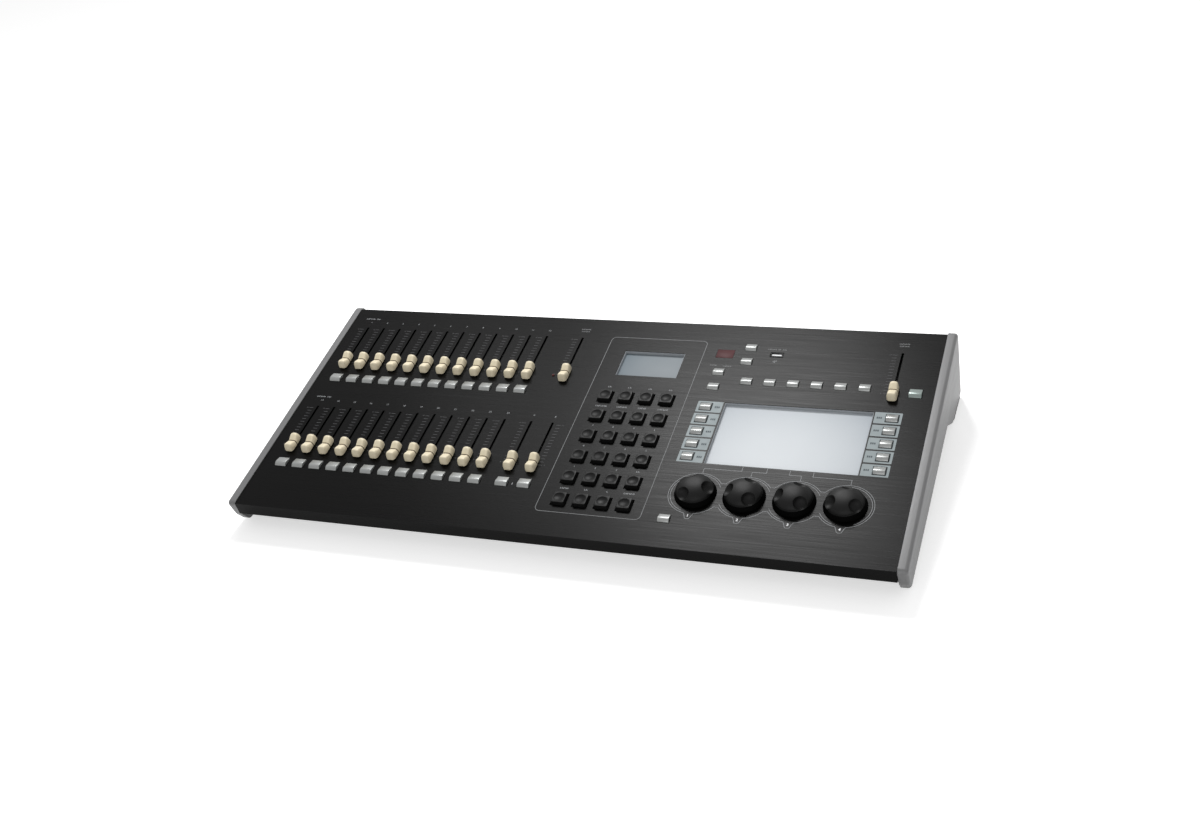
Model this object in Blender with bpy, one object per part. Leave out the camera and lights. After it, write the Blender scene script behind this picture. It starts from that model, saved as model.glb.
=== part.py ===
"""Lighting control console: a sloping black panel with faders, buttons, keys, knobs and displays.

The panel frame is an empty at the panel's front left corner, tilted by the panel's slope.
In it x runs right, y runs up the slope to the rear and z is the panel's outward normal.
"""
import math

import bmesh
import bpy
from mathutils import Matrix, Vector

MM = 0.001

# Case
PANEL_WIDTH = 707.0 * MM
PANEL_DEPTH = 331.0 * MM
PANEL_TILT = math.radians(9.4)
PANEL_THICKNESS = 2.0 * MM
LIP_DROP = 15.0 * MM
FRONT_HEIGHT = 35.0 * MM
CHEEK_THICKNESS = 10.0 * MM
CHEEK_PROUD = 1.2 * MM
CHEEK_REAR_REACH = 7.0 * MM
CHEEK_FRONT_REACH = 1.0 * MM
CHEEK_EDGE_RADIUS = 3.6 * MM
CHEEK_CORNER_RADIUS = 4.2 * MM
CHEEK_REAR_RADIUS = 9.0 * MM
CHEEK_DROP = 0.5 * MM
CHEEK_KNEE = (3.6 * MM, 20.0 * MM)
CHEEK_KNEE_RADIUS = 18.0 * MM
CHEEK_CHIN = 10.9 * MM
CHEEK_CHIN_RADIUS = 8.0 * MM
FRONT_DEPTH = 33.4 * MM
UNDERSIDE_SLOPE = 0.068
PAN_CHAMFER = 15.0 * MM
REAR_FOOT_LENGTH = 62.5 * MM
REAR_FOOT_LEAN = 32.5 * MM
FOOT_ARCH_RADIUS = 4.0 * MM
FOOT_TOE_RADIUS = 6.0 * MM
FOOT_PAD_THICKNESS = 4.0 * MM
FOOT_PAD_LENGTH = 44.0 * MM
FOOT_PAD_WIDTH = 8.0 * MM
FOOT_PAD_INSET = 5.0 * MM
FRONT_PAD_START = 20.0 * MM
FRONT_PAD_LENGTH = 18.0 * MM
FRONT_PAD_WIDTH = 16.0 * MM
FRONT_PAD_INSET = 12.0 * MM
PAN_SHEET = 1.5 * MM
REAR_PANEL_SHEET = 1.5 * MM
REAR_PANEL_RECESS = 5.0 * MM
FIT_GAP = 0.3 * MM

# Boards under the panel
BOARD_DROP = 13.0 * MM
BOARD_THICKNESS = 1.6 * MM
BOARD_MARGIN = 14.0 * MM
STUD_RADIUS = 2.5 * MM

# Faders
FADER_COUNT = 12
FADER_PITCH = 0.0302 * PANEL_WIDTH
FADER_FIRST_X = 0.0356 * PANEL_WIDTH
FADER_TRAVEL = 60.0 * MM
UPPER_SLOT_TOP = 0.8991 * PANEL_DEPTH
LOWER_SLOT_TOP = 0.4767 * PANEL_DEPTH
MASTER_FADER_X = 0.4303 * PANEL_WIDTH
FADER_A_X = 0.4122 * PANEL_WIDTH
FADER_B_X = 0.4475 * PANEL_WIDTH
RIGHT_FADER_INSET = 0.0588 * PANEL_WIDTH
SLOT_WIDTH = 2.6 * MM
LEVER_THICKNESS = 1.4 * MM
LEVER_LENGTH = 6.0 * MM
SLOT_END_GAP = 0.6 * MM
CAP_LENGTH = 23.6 * MM
CAP_WIDTH = 10.4 * MM
CAP_TOP_WIDTH = 8.0 * MM
CAP_HEIGHT = 10.4 * MM
CAP_LIFT = 1.0 * MM
TRACK_WIDTH = 9.0 * MM
TRACK_HEIGHT = 7.0 * MM
TRACK_WALL = 1.0 * MM
TRACK_END = 4.0 * MM
CARRIAGE_HEIGHT = 3.0 * MM

# Buttons
BUTTON_GAP = 0.4 * MM
BUTTON_TRAVEL = 1.2 * MM
FLANGE_MARGIN = 1.0 * MM
FLANGE_THICKNESS = 1.2 * MM
WEB_WIDTH = 5.0 * MM
SWITCH_SIZE = 6.2 * MM
BUMP_WIDTH = 13.0 * MM
BUMP_DEPTH = 12.0 * MM
BUMP_DROP = 27.6 * MM
SMALL_WIDTH = 11.8 * MM
SMALL_DEPTH = 9.8 * MM
BUTTON_FRONT_RISE = 0.3 * MM
BUTTON_RIDGE_RISE = 3.0 * MM
BUTTON_REAR_RISE = 1.0 * MM
RIGHT_BUTTON_OFFSET = 22.4 * MM
RIGHT_BUTTON_RISE = 2.0 * MM
ROW_BUTTON_COUNT = 6
ROW_BUTTON_FIRST_X = 0.7216 * PANEL_WIDTH
ROW_BUTTON_PITCH = 0.0355 * PANEL_WIDTH
ROW_BUTTON_Y = 0.7257 * PANEL_DEPTH
CORNER_BUTTON_Y = 0.1118 * PANEL_DEPTH
STEP_BUTTON_X = 0.7112 * PANEL_WIDTH
STEP_BUTTON_UPPER_Y = 0.8891 * PANEL_DEPTH
STEP_BUTTON_SPACING = 0.0689 * PANEL_DEPTH
LEVEL_BUTTON_UPPER_Y = 0.7625 * PANEL_DEPTH
LEVEL_BUTTON_SPACING = 0.0701 * PANEL_DEPTH
SOFTKEY_COUNT = 5
SOFTKEY_PITCH = 18.5 * MM
SOFTKEY_SIDE_GAP = 19.2 * MM

# Keypad
KEY_COLUMNS = 4
KEY_ROWS = 6
KEY_PITCH_X = 0.0328 * PANEL_WIDTH
KEY_PITCH_Y = 0.0931 * PANEL_DEPTH
KEYPAD_CENTRE_X = 0.5612 * PANEL_WIDTH
KEYPAD_FRONT_Y = 0.1486 * PANEL_DEPTH
KEY_WIDTH = 16.0 * MM
KEY_DEPTH = 16.4 * MM
KEY_TAPER = 1.1 * MM
KEY_RISE = 4.0 * MM
DISH_RADIUS = 5.9 * MM
DISH_DEPTH = 1.3 * MM

# Displays
SCREEN_CENTRE_X = 0.8110 * PANEL_WIDTH
SCREEN_CENTRE_Y = 0.4858 * PANEL_DEPTH
SCREEN_WIDTH = 155.8 * MM
SCREEN_DEPTH = 90.4 * MM
TEXT_CENTRE_Y = 0.7829 * PANEL_DEPTH
TEXT_WIDTH = 69.8 * MM
TEXT_DEPTH = 40.3 * MM
GLASS_DROP = 3.8 * MM
BEZEL_MARGIN = 4.0 * MM
MODULE_BOTTOM = 12.0 * MM
LEVEL_CENTRE_Y = 0.8535 * PANEL_DEPTH
LEVEL_WIDTH = 19.6 * MM
LEVEL_DEPTH = 13.6 * MM
LAMP_X = 0.4110 * PANEL_WIDTH
LAMP_Y = 0.7009 * PANEL_DEPTH
LAMP_RADIUS = 1.5 * MM

# Panel socket
PORT_X = 0.7539 * PANEL_WIDTH
PORT_Y = 0.8604 * PANEL_DEPTH
PORT_WIDTH = 14.8 * MM
PORT_DEPTH = 8.2 * MM
PORT_MOUTH_WIDTH = 12.6 * MM
PORT_MOUTH_DEPTH = 5.2 * MM
PORT_TONGUE = 1.9 * MM
PORT_REACH = 9.0 * MM

# Encoders
KNOB_COUNT = 4
KNOB_PITCH = 0.0700 * PANEL_WIDTH
KNOB_MIDDLE_X = 0.8099 * PANEL_WIDTH
KNOB_Y = 0.2233 * PANEL_DEPTH
KNOB_SPACING = 6.6 * MM
KNOB_TAPER = 2.8 * MM
KNOB_SHOULDER_RISE = 7.0 * MM
KNOB_RISE = 15.5 * MM
KNOB_LIFT = 0.6 * MM
KNOB_TURNS = (-4, -54, -50, -35)
SCOOP_COUNT = 3
SCOOP_RADIUS = 8.2 * MM
SCOOP_INSET = 1.6 * MM
SCOOP_RISE = 14.0 * MM
SHAFT_RADIUS = 3.0 * MM
SHAFT_GAP = 0.3 * MM
BUSHING_RADIUS = 4.5 * MM
BUSHING_RISE = 4.0 * MM
ENCODER_SIZE = 13.0 * MM
ENCODER_FLOOR = 1.5 * MM
KNOB_SEGMENTS = 24

# Main board and power supply
MAIN_BOARD_X = (0.17 * PANEL_WIDTH, 0.594 * PANEL_WIDTH)
MAIN_BOARD_Y = (0.574 * PANEL_DEPTH, 0.906 * PANEL_DEPTH)
MAIN_BOARD_DROP = 34.0 * MM
SUPPLY_SIZE = (124.0 * MM, 70.0 * MM, 28.0 * MM)
SUPPLY_X = 0.7950 * PANEL_WIDTH
SUPPLY_REAR_GAP = 8.0 * MM
POST_RADIUS = 3.0 * MM

# Rear panel fittings, x of each centre from the panel's left edge
DATA_OUTPUT_X = (0.594 * PANEL_WIDTH, 0.6577 * PANEL_WIDTH)
ROUND_SOCKET_X = (0.4243 * PANEL_WIDTH, 0.4738 * PANEL_WIDTH)
VIDEO_X = 0.3395 * PANEL_WIDTH
HOST_PORT_X = 0.2617 * PANEL_WIDTH
INLET_X = 0.8628 * PANEL_WIDTH
ROCKER_X = 0.9335 * PANEL_WIDTH
FITTING_DROP = 29.0 * MM
DATA_RADIUS = 11.6 * MM
ROUND_RADIUS = 8.8 * MM
VIDEO_SIZE = (31.0 * MM, 12.6 * MM)
HOST_PORT_SIZE = (14.4 * MM, 7.4 * MM)
INLET_SIZE = (27.0 * MM, 20.0 * MM)
INLET_FLANGE = 3.0 * MM
INLET_MOUTH = (23.0 * MM, 16.0 * MM)
INLET_MOUTH_REACH = 14.0 * MM
INLET_REACH = 22.0 * MM
ROCKER_SIZE = (12.0 * MM, 19.0 * MM)
ROCKER_SWING = math.radians(8.0)
ROCKER_WELL_REACH = 10.8 * MM
ROCKER_PIVOT_DROP = 2.0 * MM
FITTING_LIP = 2.0 * MM
FITTING_REACH = 18.0 * MM
ROCKER_WALL = 1.5 * MM
SOCKET_BOARD_MARGIN = 14.0 * MM

# Screw holes
SCREW_RADIUS = 1.5 * MM
REAR_SCREW_COUNT = 6
PAN_SCREW_COUNT = 3
SCREW_EDGE = 8.0 * MM

SLOPE_SIN = math.sin(PANEL_TILT)
SLOPE_COS = math.cos(PANEL_TILT)
SLOT_LENGTH = FADER_TRAVEL + LEVER_LENGTH + 2 * SLOT_END_GAP
RIGHT_FADER_X = PANEL_WIDTH - RIGHT_FADER_INSET
LEFT_SOFTKEY_X = SCREEN_CENTRE_X - SCREEN_WIDTH / 2 - SOFTKEY_SIDE_GAP
RIGHT_SOFTKEY_X = SCREEN_CENTRE_X + SCREEN_WIDTH / 2 + SOFTKEY_SIDE_GAP
KNOB_BASE_RADIUS = (KNOB_PITCH - KNOB_SPACING) / 2
KNOB_SHOULDER_RADIUS = KNOB_BASE_RADIUS - KNOB_TAPER
FLANGE_TOP = -(PANEL_THICKNESS + FIT_GAP)
FLANGE_BOTTOM = FLANGE_TOP - FLANGE_THICKNESS
SWITCH_TOP = FLANGE_BOTTOM - BUTTON_TRAVEL - FIT_GAP
REAR_PANEL_Y = PANEL_DEPTH - REAR_PANEL_RECESS


def clear_scene():
    for item in list(bpy.data.objects):
        bpy.data.objects.remove(item, do_unlink=True)


def material(name, colour, roughness, metallic=0.0):
    made = bpy.data.materials.new(name)
    made.use_nodes = True
    shader = made.node_tree.nodes["Principled BSDF"]
    shader.inputs["Base Color"].default_value = (*colour, 1.0)
    shader.inputs["Roughness"].default_value = roughness
    shader.inputs["Metallic"].default_value = metallic
    made.diffuse_color = (*colour, 1.0)
    return made


def floor_z(y):
    """Height of the table under the console, in the panel frame."""
    return -(FRONT_HEIGHT + y * SLOPE_SIN) / SLOPE_COS


def underside_z(y):
    """Height of the pan's underside."""
    return -FRONT_DEPTH - UNDERSIDE_SLOPE * y


def rounded_outline(corners, segments=4):
    """Replace each (y, z, radius) corner by an arc."""
    points = []
    count = len(corners)
    for index, (y, z, radius) in enumerate(corners):
        here = Vector((y, z))
        before = Vector(corners[index - 1][:2]) - here
        after = Vector(corners[(index + 1) % count][:2]) - here
        if radius <= 0:
            points.append(here)
            continue
        half = before.angle(after) / 2
        reach = radius / math.tan(half)
        start = here + before.normalized() * reach
        end = here + after.normalized() * reach
        centre = here + (before.normalized() + after.normalized()).normalized() * radius / math.sin(half)
        first = start - centre
        last = end - centre
        swing = first.angle_signed(last)
        for step in range(segments + 1):
            turn = Matrix.Rotation(-swing * step / segments, 2)
            points.append(centre + turn @ first)
    return points


def inset_outline(points, distance):
    """Move a clockwise or anticlockwise outline inwards by a distance."""
    count = len(points)
    area = sum(points[i - 1].cross(points[i]) for i in range(count))
    side = 1.0 if area > 0 else -1.0
    moved = []
    for index, here in enumerate(points):
        before = (here - points[index - 1]).normalized()
        after = (points[(index + 1) % count] - here).normalized()
        normal_before = Vector((-before.y, before.x)) * side
        normal_after = Vector((-after.y, after.x)) * side
        middle = (normal_before + normal_after).normalized()
        moved.append(here + middle * distance / max(middle.dot(normal_before), 0.5))
    return moved


def loft(bm, rings):
    """Join equal rings of points into one closed skin with flat ends."""
    layers = [[bm.verts.new(point) for point in ring] for ring in rings]
    count = len(layers[0])
    for lower, upper in zip(layers, layers[1:]):
        for index in range(count):
            following = (index + 1) % count
            bm.faces.new((lower[index], lower[following], upper[following], upper[index]))
    bm.faces.new(list(reversed(layers[0])))
    bm.faces.new(layers[-1])
    return layers


def add_box(bm, low, high):
    ring = [(low[0], low[1]), (high[0], low[1]), (high[0], high[1]), (low[0], high[1])]
    loft(bm, [[(x, y, z) for x, y in ring] for z in (low[2], high[2])])


def add_centred_box(bm, x, y, width, depth, bottom, top):
    add_box(bm, (x - width / 2, y - depth / 2, bottom), (x + width / 2, y + depth / 2, top))


def circle(radius, segments, z, x=0.0, y=0.0):
    ring = []
    for step in range(segments):
        angle = 2 * math.pi * step / segments
        ring.append((x + radius * math.cos(angle), y + radius * math.sin(angle), z))
    return ring


def add_turned(bm, profile, segments, x=0.0, y=0.0):
    """Turn an outline of (radius, z) points about z, from its low centre to its high centre."""
    layers = [[bm.verts.new(point) for point in circle(r, segments, z, x, y)] for r, z in profile[1:-1]]
    for lower, upper in zip(layers, layers[1:]):
        for index in range(segments):
            following = (index + 1) % segments
            bm.faces.new((lower[index], lower[following], upper[following], upper[index]))
    if profile[0][1] == profile[1][1]:
        bm.faces.new(list(reversed(layers[0])))
    else:
        low = bm.verts.new((x, y, profile[0][1]))
        for index in range(segments):
            bm.faces.new((low, layers[0][(index + 1) % segments], layers[0][index]))
    if profile[-1][1] == profile[-2][1]:
        bm.faces.new(layers[-1])
    else:
        high = bm.verts.new((x, y, profile[-1][1]))
        for index in range(segments):
            bm.faces.new((high, layers[-1][index], layers[-1][(index + 1) % segments]))


def add_across(bm, outline, x_low, x_high):
    """Extrude a (y, z) outline across the console."""
    loft(bm, [[(x, point[0], point[1]) for point in outline] for x in (x_low, x_high)])


def finish_mesh(bm, name):
    bmesh.ops.recalc_face_normals(bm, faces=bm.faces[:])
    mesh = bpy.data.meshes.new(name)
    bm.to_mesh(mesh)
    bm.free()
    return mesh


def place(name, mesh, parent, finish=None, location=(0.0, 0.0, 0.0), round_piece=False):
    item = bpy.data.objects.new(name, mesh)
    bpy.context.scene.collection.objects.link(item)
    item.parent = parent
    item.location = location
    if finish is not None and not mesh.materials:
        mesh.materials.append(finish)
    if round_piece:
        mesh.shade_smooth()
        mesh.set_sharp_from_angle(angle=math.radians(35))
    return item


def make(name, parent, finish, build, location=(0.0, 0.0, 0.0), round_piece=False):
    bm = bmesh.new()
    build(bm)
    return place(name, finish_mesh(bm, name), parent, finish, location, round_piece)


def boolean(target, cutter, operation):
    cutter.hide_render = True
    cutter.display_type = "WIRE"
    step = target.modifiers.new(cutter.name, "BOOLEAN")
    step.operation = operation
    step.solver = "EXACT"
    step.object = cutter


def merged_mesh(base, others, parent):
    """Join overlapping closed pieces into one solid and return its mesh."""
    main = make("merge_base", parent, None, base)
    helpers = []
    for index, build in enumerate(others):
        helper = make("merge_part_%d" % index, parent, None, build[1])
        boolean(main, helper, build[0])
        helpers.append(helper)
    bpy.context.view_layer.update()
    graph = bpy.context.evaluated_depsgraph_get()
    mesh = bpy.data.meshes.new_from_object(main.evaluated_get(graph))
    mesh.materials.clear()
    for item in [main] + helpers:
        bpy.data.objects.remove(item, do_unlink=True)
    return mesh


def fader_rest_y(slot_top):
    """Middle of the lever when the fader is at the front end of its slot."""
    return slot_top - SLOT_END_GAP - LEVER_LENGTH / 2 - FADER_TRAVEL


def fader_places():
    """Name, x and slot top of every fader."""
    places = []
    for index in range(FADER_COUNT):
        places.append(("fader_%02d" % (index + 1), FADER_FIRST_X + index * FADER_PITCH, UPPER_SLOT_TOP))
    for index in range(FADER_COUNT):
        name = "fader_%02d" % (index + 1 + FADER_COUNT)
        places.append((name, FADER_FIRST_X + index * FADER_PITCH, LOWER_SLOT_TOP))
    places.append(("fader_master", MASTER_FADER_X, UPPER_SLOT_TOP))
    places.append(("fader_a", FADER_A_X, LOWER_SLOT_TOP))
    places.append(("fader_b", FADER_B_X, LOWER_SLOT_TOP))
    places.append(("fader_right", RIGHT_FADER_X, UPPER_SLOT_TOP))
    return places


def bump_row(slot_top):
    y = fader_rest_y(slot_top) - BUMP_DROP
    return [(FADER_FIRST_X + index * FADER_PITCH, y) for index in range(FADER_COUNT)]


def softkey_column(x):
    first = SCREEN_CENTRE_Y - (SOFTKEY_COUNT - 1) / 2 * SOFTKEY_PITCH
    return [(x, first + index * SOFTKEY_PITCH) for index in range(SOFTKEY_COUNT)]


def button_groups():
    """Node name, width, depth and centres of every group of wedge buttons on one carrier."""
    lower_y = fader_rest_y(LOWER_SLOT_TOP) - BUMP_DROP
    side_x = LEFT_SOFTKEY_X
    row = [(ROW_BUTTON_FIRST_X + i * ROW_BUTTON_PITCH, ROW_BUTTON_Y) for i in range(ROW_BUTTON_COUNT)]
    display = [
        (STEP_BUTTON_X, STEP_BUTTON_UPPER_Y),
        (STEP_BUTTON_X, STEP_BUTTON_UPPER_Y - STEP_BUTTON_SPACING),
        (side_x, LEVEL_BUTTON_UPPER_Y),
        (side_x, LEVEL_BUTTON_UPPER_Y - LEVEL_BUTTON_SPACING),
    ]
    right = (RIGHT_FADER_X + RIGHT_BUTTON_OFFSET, fader_rest_y(UPPER_SLOT_TOP) + RIGHT_BUTTON_RISE)
    return [
        ("upper_bump_buttons", BUMP_WIDTH, BUMP_DEPTH, bump_row(UPPER_SLOT_TOP)),
        ("lower_bump_buttons", BUMP_WIDTH, BUMP_DEPTH, bump_row(LOWER_SLOT_TOP)),
        ("master_buttons", BUMP_WIDTH, BUMP_DEPTH, [(FADER_A_X, lower_y), (FADER_B_X, lower_y)]),
        ("right_button", BUMP_WIDTH, BUMP_DEPTH, [right]),
        ("display_buttons", SMALL_WIDTH, SMALL_DEPTH, display),
        ("row_buttons", SMALL_WIDTH, SMALL_DEPTH, row),
        ("left_softkeys", SMALL_WIDTH, SMALL_DEPTH, [(side_x, CORNER_BUTTON_Y)] + softkey_column(side_x)),
        ("right_softkeys", SMALL_WIDTH, SMALL_DEPTH, softkey_column(RIGHT_SOFTKEY_X)),
    ]


def key_places():
    places = []
    for row in range(KEY_ROWS):
        for column in range(KEY_COLUMNS):
            x = KEYPAD_CENTRE_X + (column - (KEY_COLUMNS - 1) / 2) * KEY_PITCH_X
            places.append((x, KEYPAD_FRONT_Y + row * KEY_PITCH_Y))
    return places


def knob_places():
    first = KNOB_MIDDLE_X - (KNOB_COUNT - 1) / 2 * KNOB_PITCH
    return [(first + index * KNOB_PITCH, KNOB_Y) for index in range(KNOB_COUNT)]


def rectangle(x, y, width, depth, z):
    half_x = width / 2
    half_y = depth / 2
    return [
        (x - half_x, y - half_y, z),
        (x + half_x, y - half_y, z),
        (x + half_x, y + half_y, z),
        (x - half_x, y + half_y, z),
    ]


def carrier_middle():
    """Height inside the carrier at which its caps start, so that they join it."""
    return (FLANGE_TOP + FLANGE_BOTTOM) / 2


def web_runs(places):
    """Ends of the straight webs that follow the buttons of a group and turn where they do."""
    path = places[:1]
    for x, y in places[1:]:
        if x != path[-1][0] and y != path[-1][1]:
            path.append((path[-1][0], y))
        path.append((x, y))
    runs = [[path[0], path[0]]]
    for point in path[1:]:
        start, end = runs[-1]
        if point[0] == start[0] == end[0] or point[1] == start[1] == end[1]:
            runs[-1][1] = point
        else:
            runs.append([end, point])
    return runs


def web_builder(run):
    """A builder of one straight web that joins the buttons of a group under the panel."""
    half = WEB_WIDTH / 2
    across = sorted(point[0] for point in run)
    along = sorted(point[1] for point in run)

    def build(bm):
        low = (across[0] - half, along[0] - half, FLANGE_BOTTOM)
        add_box(bm, low, (across[1] + half, along[1] + half, FLANGE_TOP))

    return build


def skin_rings(bm, rings):
    """Join rings of four points with an open top, and return the rows of corners."""
    layers = [[bm.verts.new(point) for point in ring] for ring in rings]
    for lower, upper in zip(layers, layers[1:]):
        for index in range(4):
            following = (index + 1) % 4
            bm.faces.new((lower[index], lower[following], upper[following], upper[index]))
    bm.faces.new(list(reversed(layers[0])))
    return layers


def add_wedge_cap(bm, x, y, width, depth):
    """A cap with a ridge near its front edge."""
    layers = skin_rings(bm, [
        rectangle(x, y, width, depth, carrier_middle()),
        rectangle(x, y, width, depth, BUTTON_FRONT_RISE),
    ])
    front_left, front_right, rear_right, rear_left = layers[-1]
    rear_left.co.z = BUTTON_REAR_RISE
    rear_right.co.z = BUTTON_REAR_RISE
    ridge_y = y - depth / 4
    ridge_left = bm.verts.new((x - width / 2, ridge_y, BUTTON_RIDGE_RISE))
    ridge_right = bm.verts.new((x + width / 2, ridge_y, BUTTON_RIDGE_RISE))
    bm.faces.new((front_left, front_right, ridge_right, ridge_left))
    bm.faces.new((ridge_left, ridge_right, rear_right, rear_left))
    bm.faces.new((front_left, ridge_left, rear_left))
    bm.faces.new((front_right, rear_right, ridge_right))


def add_key_cap(bm, x, y):
    """A tall keycap with a round dish in its top."""
    layers = skin_rings(bm, [
        rectangle(x, y, KEY_WIDTH, KEY_DEPTH, carrier_middle()),
        rectangle(x, y, KEY_WIDTH - 2 * KEY_TAPER, KEY_DEPTH - 2 * KEY_TAPER, KEY_RISE),
    ])
    segments = 12
    turn = math.radians(225)
    dish = []
    for radius, drop in ((DISH_RADIUS, 0.0), (DISH_RADIUS * 0.6, DISH_DEPTH * 0.68)):
        ring = []
        for step in range(segments):
            angle = turn + 2 * math.pi * step / segments
            point = (x + radius * math.cos(angle), y + radius * math.sin(angle), KEY_RISE - drop)
            ring.append(bm.verts.new(point))
        dish.append(ring)
    top = layers[-1]
    share = segments // 4
    for corner in range(4):
        following = (corner + 1) % 4
        arc = [dish[0][(corner * share + step) % segments] for step in range(share + 1)]
        bm.faces.new([top[corner], top[following]] + list(reversed(arc)))
    for index in range(segments):
        following = (index + 1) % segments
        bm.faces.new((dish[0][index], dish[0][following], dish[1][following], dish[1][index]))
    centre = bm.verts.new((x, y, KEY_RISE - DISH_DEPTH))
    for index in range(segments):
        bm.faces.new((centre, dish[1][index], dish[1][(index + 1) % segments]))


def cap_stations():
    """Along the cap: y, top height, half width at the top and at the base."""
    half = CAP_LENGTH / 2
    top = CAP_TOP_WIDTH / 2
    base = CAP_WIDTH / 2
    high = CAP_HEIGHT
    return [
        (-half, 0.30 * high, 0.68 * top, 0.60 * base),
        (-0.86 * half, 0.80 * high, 0.96 * top, 0.92 * base),
        (-0.68 * half, 0.91 * high, top, base),
        (-0.30 * half, 0.71 * high, top, base),
        (0.0, 0.62 * high, top, base),
        (0.26 * half, 0.78 * high, 0.94 * top, 0.96 * base),
        (0.58 * half, high, 0.84 * top, 0.94 * base),
        (0.80 * half, 0.90 * high, 0.70 * top, 0.86 * base),
        (half, 0.30 * high, 0.56 * top, 0.62 * base),
    ]


def build_cap(bm):
    rings = []
    for y, height, top, base in cap_stations():
        shoulder = CAP_LIFT + 0.30 * (height - CAP_LIFT)
        rings.append([
            (-base, y, CAP_LIFT),
            (base, y, CAP_LIFT),
            (base, y, shoulder),
            (top, y, height),
            (-top, y, height),
            (-base, y, shoulder),
        ])
    loft(bm, rings)


def carriage_span():
    """Low and high z of the fader's carriage inside its track."""
    low = -BOARD_DROP + FIT_GAP + TRACK_WALL + FIT_GAP
    return low, low + CARRIAGE_HEIGHT


def build_lever(bm):
    low, high = carriage_span()
    add_centred_box(bm, 0, 0, LEVER_THICKNESS, LEVER_LENGTH, (low + high) / 2, CAP_LIFT + CAP_HEIGHT / 4)


def build_carriage(bm):
    low, high = carriage_span()
    width = TRACK_WIDTH - 2 * TRACK_WALL - 2 * FIT_GAP
    add_centred_box(bm, 0, 0, width, LEVER_LENGTH + 2 * MM, low, high)


def make_faders(frame, finish):
    mesh = merged_mesh(build_cap, [("UNION", build_lever), ("UNION", build_carriage)], frame)
    for name, x, slot_top in fader_places():
        place(name, mesh, frame, finish, (x, fader_rest_y(slot_top), 0.0))


def add_track(bm, x, slot_top):
    """A slide body: an open channel that stands on its board."""
    low = -BOARD_DROP - BOARD_THICKNESS / 2
    floor = -BOARD_DROP + FIT_GAP + TRACK_WALL
    top = -BOARD_DROP + FIT_GAP + TRACK_HEIGHT
    half = TRACK_WIDTH / 2
    wall = TRACK_WALL
    outline = [
        (x - half, low),
        (x + half, low),
        (x + half, top),
        (x + half - wall, top),
        (x + half - wall, floor),
        (x - half + wall, floor),
        (x - half + wall, top),
        (x - half, top),
    ]
    ends = (slot_top - SLOT_LENGTH - TRACK_END, slot_top + TRACK_END)
    loft(bm, [[(px, y, pz) for px, pz in outline] for y in ends])


def add_switch(bm, x, y):
    add_centred_box(bm, x, y, SWITCH_SIZE, SWITCH_SIZE, -BOARD_DROP - BOARD_THICKNESS / 2, SWITCH_TOP)


def group_centres(name):
    return [centres for group, _, _, centres in button_groups() if group == name][0]


def boards():
    """Each board under the panel: name, corners, slides, switches."""
    margin = BOARD_MARGIN
    rows = []
    for name, slot_top, groups in (
        ("upper_fader_board", UPPER_SLOT_TOP, ["upper_bump_buttons"]),
        ("lower_fader_board", LOWER_SLOT_TOP, ["lower_bump_buttons", "master_buttons"]),
    ):
        slides = [(x, top) for fader, x, top in fader_places() if top == slot_top and fader != "fader_right"]
        switches = [centre for group in groups for centre in group_centres(group)]
        low = (FADER_FIRST_X - margin, switches[0][1] - margin)
        high = (max(x for x, _ in slides) + margin, slot_top + margin)
        rows.append((name, low, high, slides, switches))
    keys = key_places()
    low = (keys[0][0] - margin, keys[0][1] - margin)
    high = (keys[-1][0] + margin, keys[-1][1] + margin)
    rows.append(("keypad_board", low, high, [], keys))
    names = ["right_button", "display_buttons", "row_buttons", "left_softkeys", "right_softkeys"]
    switches = [centre for group in names for centre in group_centres(group)]
    low = (min(x for x, _ in switches) - margin, min(y for _, y in switches) - margin)
    high = (max(x for x, _ in switches) + margin, max(STEP_BUTTON_UPPER_Y, UPPER_SLOT_TOP) + margin)
    rows.append(("control_board", low, high, [(RIGHT_FADER_X, UPPER_SLOT_TOP)], switches))
    return rows


def stud_places():
    """Two studs of the panel over each board, at corners that its parts leave free."""
    inset = STUD_RADIUS + FIT_GAP
    studs = []
    for _, low, high, _, _ in boards():
        studs.append((low[0] + inset, low[1] + inset))
        studs.append((high[0] - inset, high[1] - inset))
    return studs


def add_lamp(bm):
    """The indicator lamp on the upper fader board, seen through its hole."""
    low = -BOARD_DROP - BOARD_THICKNESS / 2
    add_turned(bm, [(0.0, low), (LAMP_RADIUS, low), (LAMP_RADIUS, LAMP_RADIUS / 2), (0.0, LAMP_RADIUS)],
               10, LAMP_X, LAMP_Y)


def add_encoder(bm, x, y):
    """A square body with a bored bushing that stands up through the panel."""
    bore = SHAFT_RADIUS + SHAFT_GAP
    low = -BOARD_DROP - BOARD_THICKNESS / 2
    floor = -BOARD_DROP + FIT_GAP + ENCODER_FLOOR
    top = -(PANEL_THICKNESS + FIT_GAP)
    segments = 12
    outer = []
    for step in range(segments):
        angle = 2 * math.pi * step / segments
        radius = ENCODER_SIZE / 2 / max(abs(math.cos(angle)), abs(math.sin(angle)))
        outer.append((x + radius * math.cos(angle), y + radius * math.sin(angle)))
    loft(bm, [
        [(px, py, low) for px, py in outer],
        [(px, py, top) for px, py in outer],
        circle(BUSHING_RADIUS, segments, top, x, y),
        circle(BUSHING_RADIUS, segments, BUSHING_RISE, x, y),
        circle(bore, segments, BUSHING_RISE, x, y),
        circle(bore, segments, floor, x, y),
    ])


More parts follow.
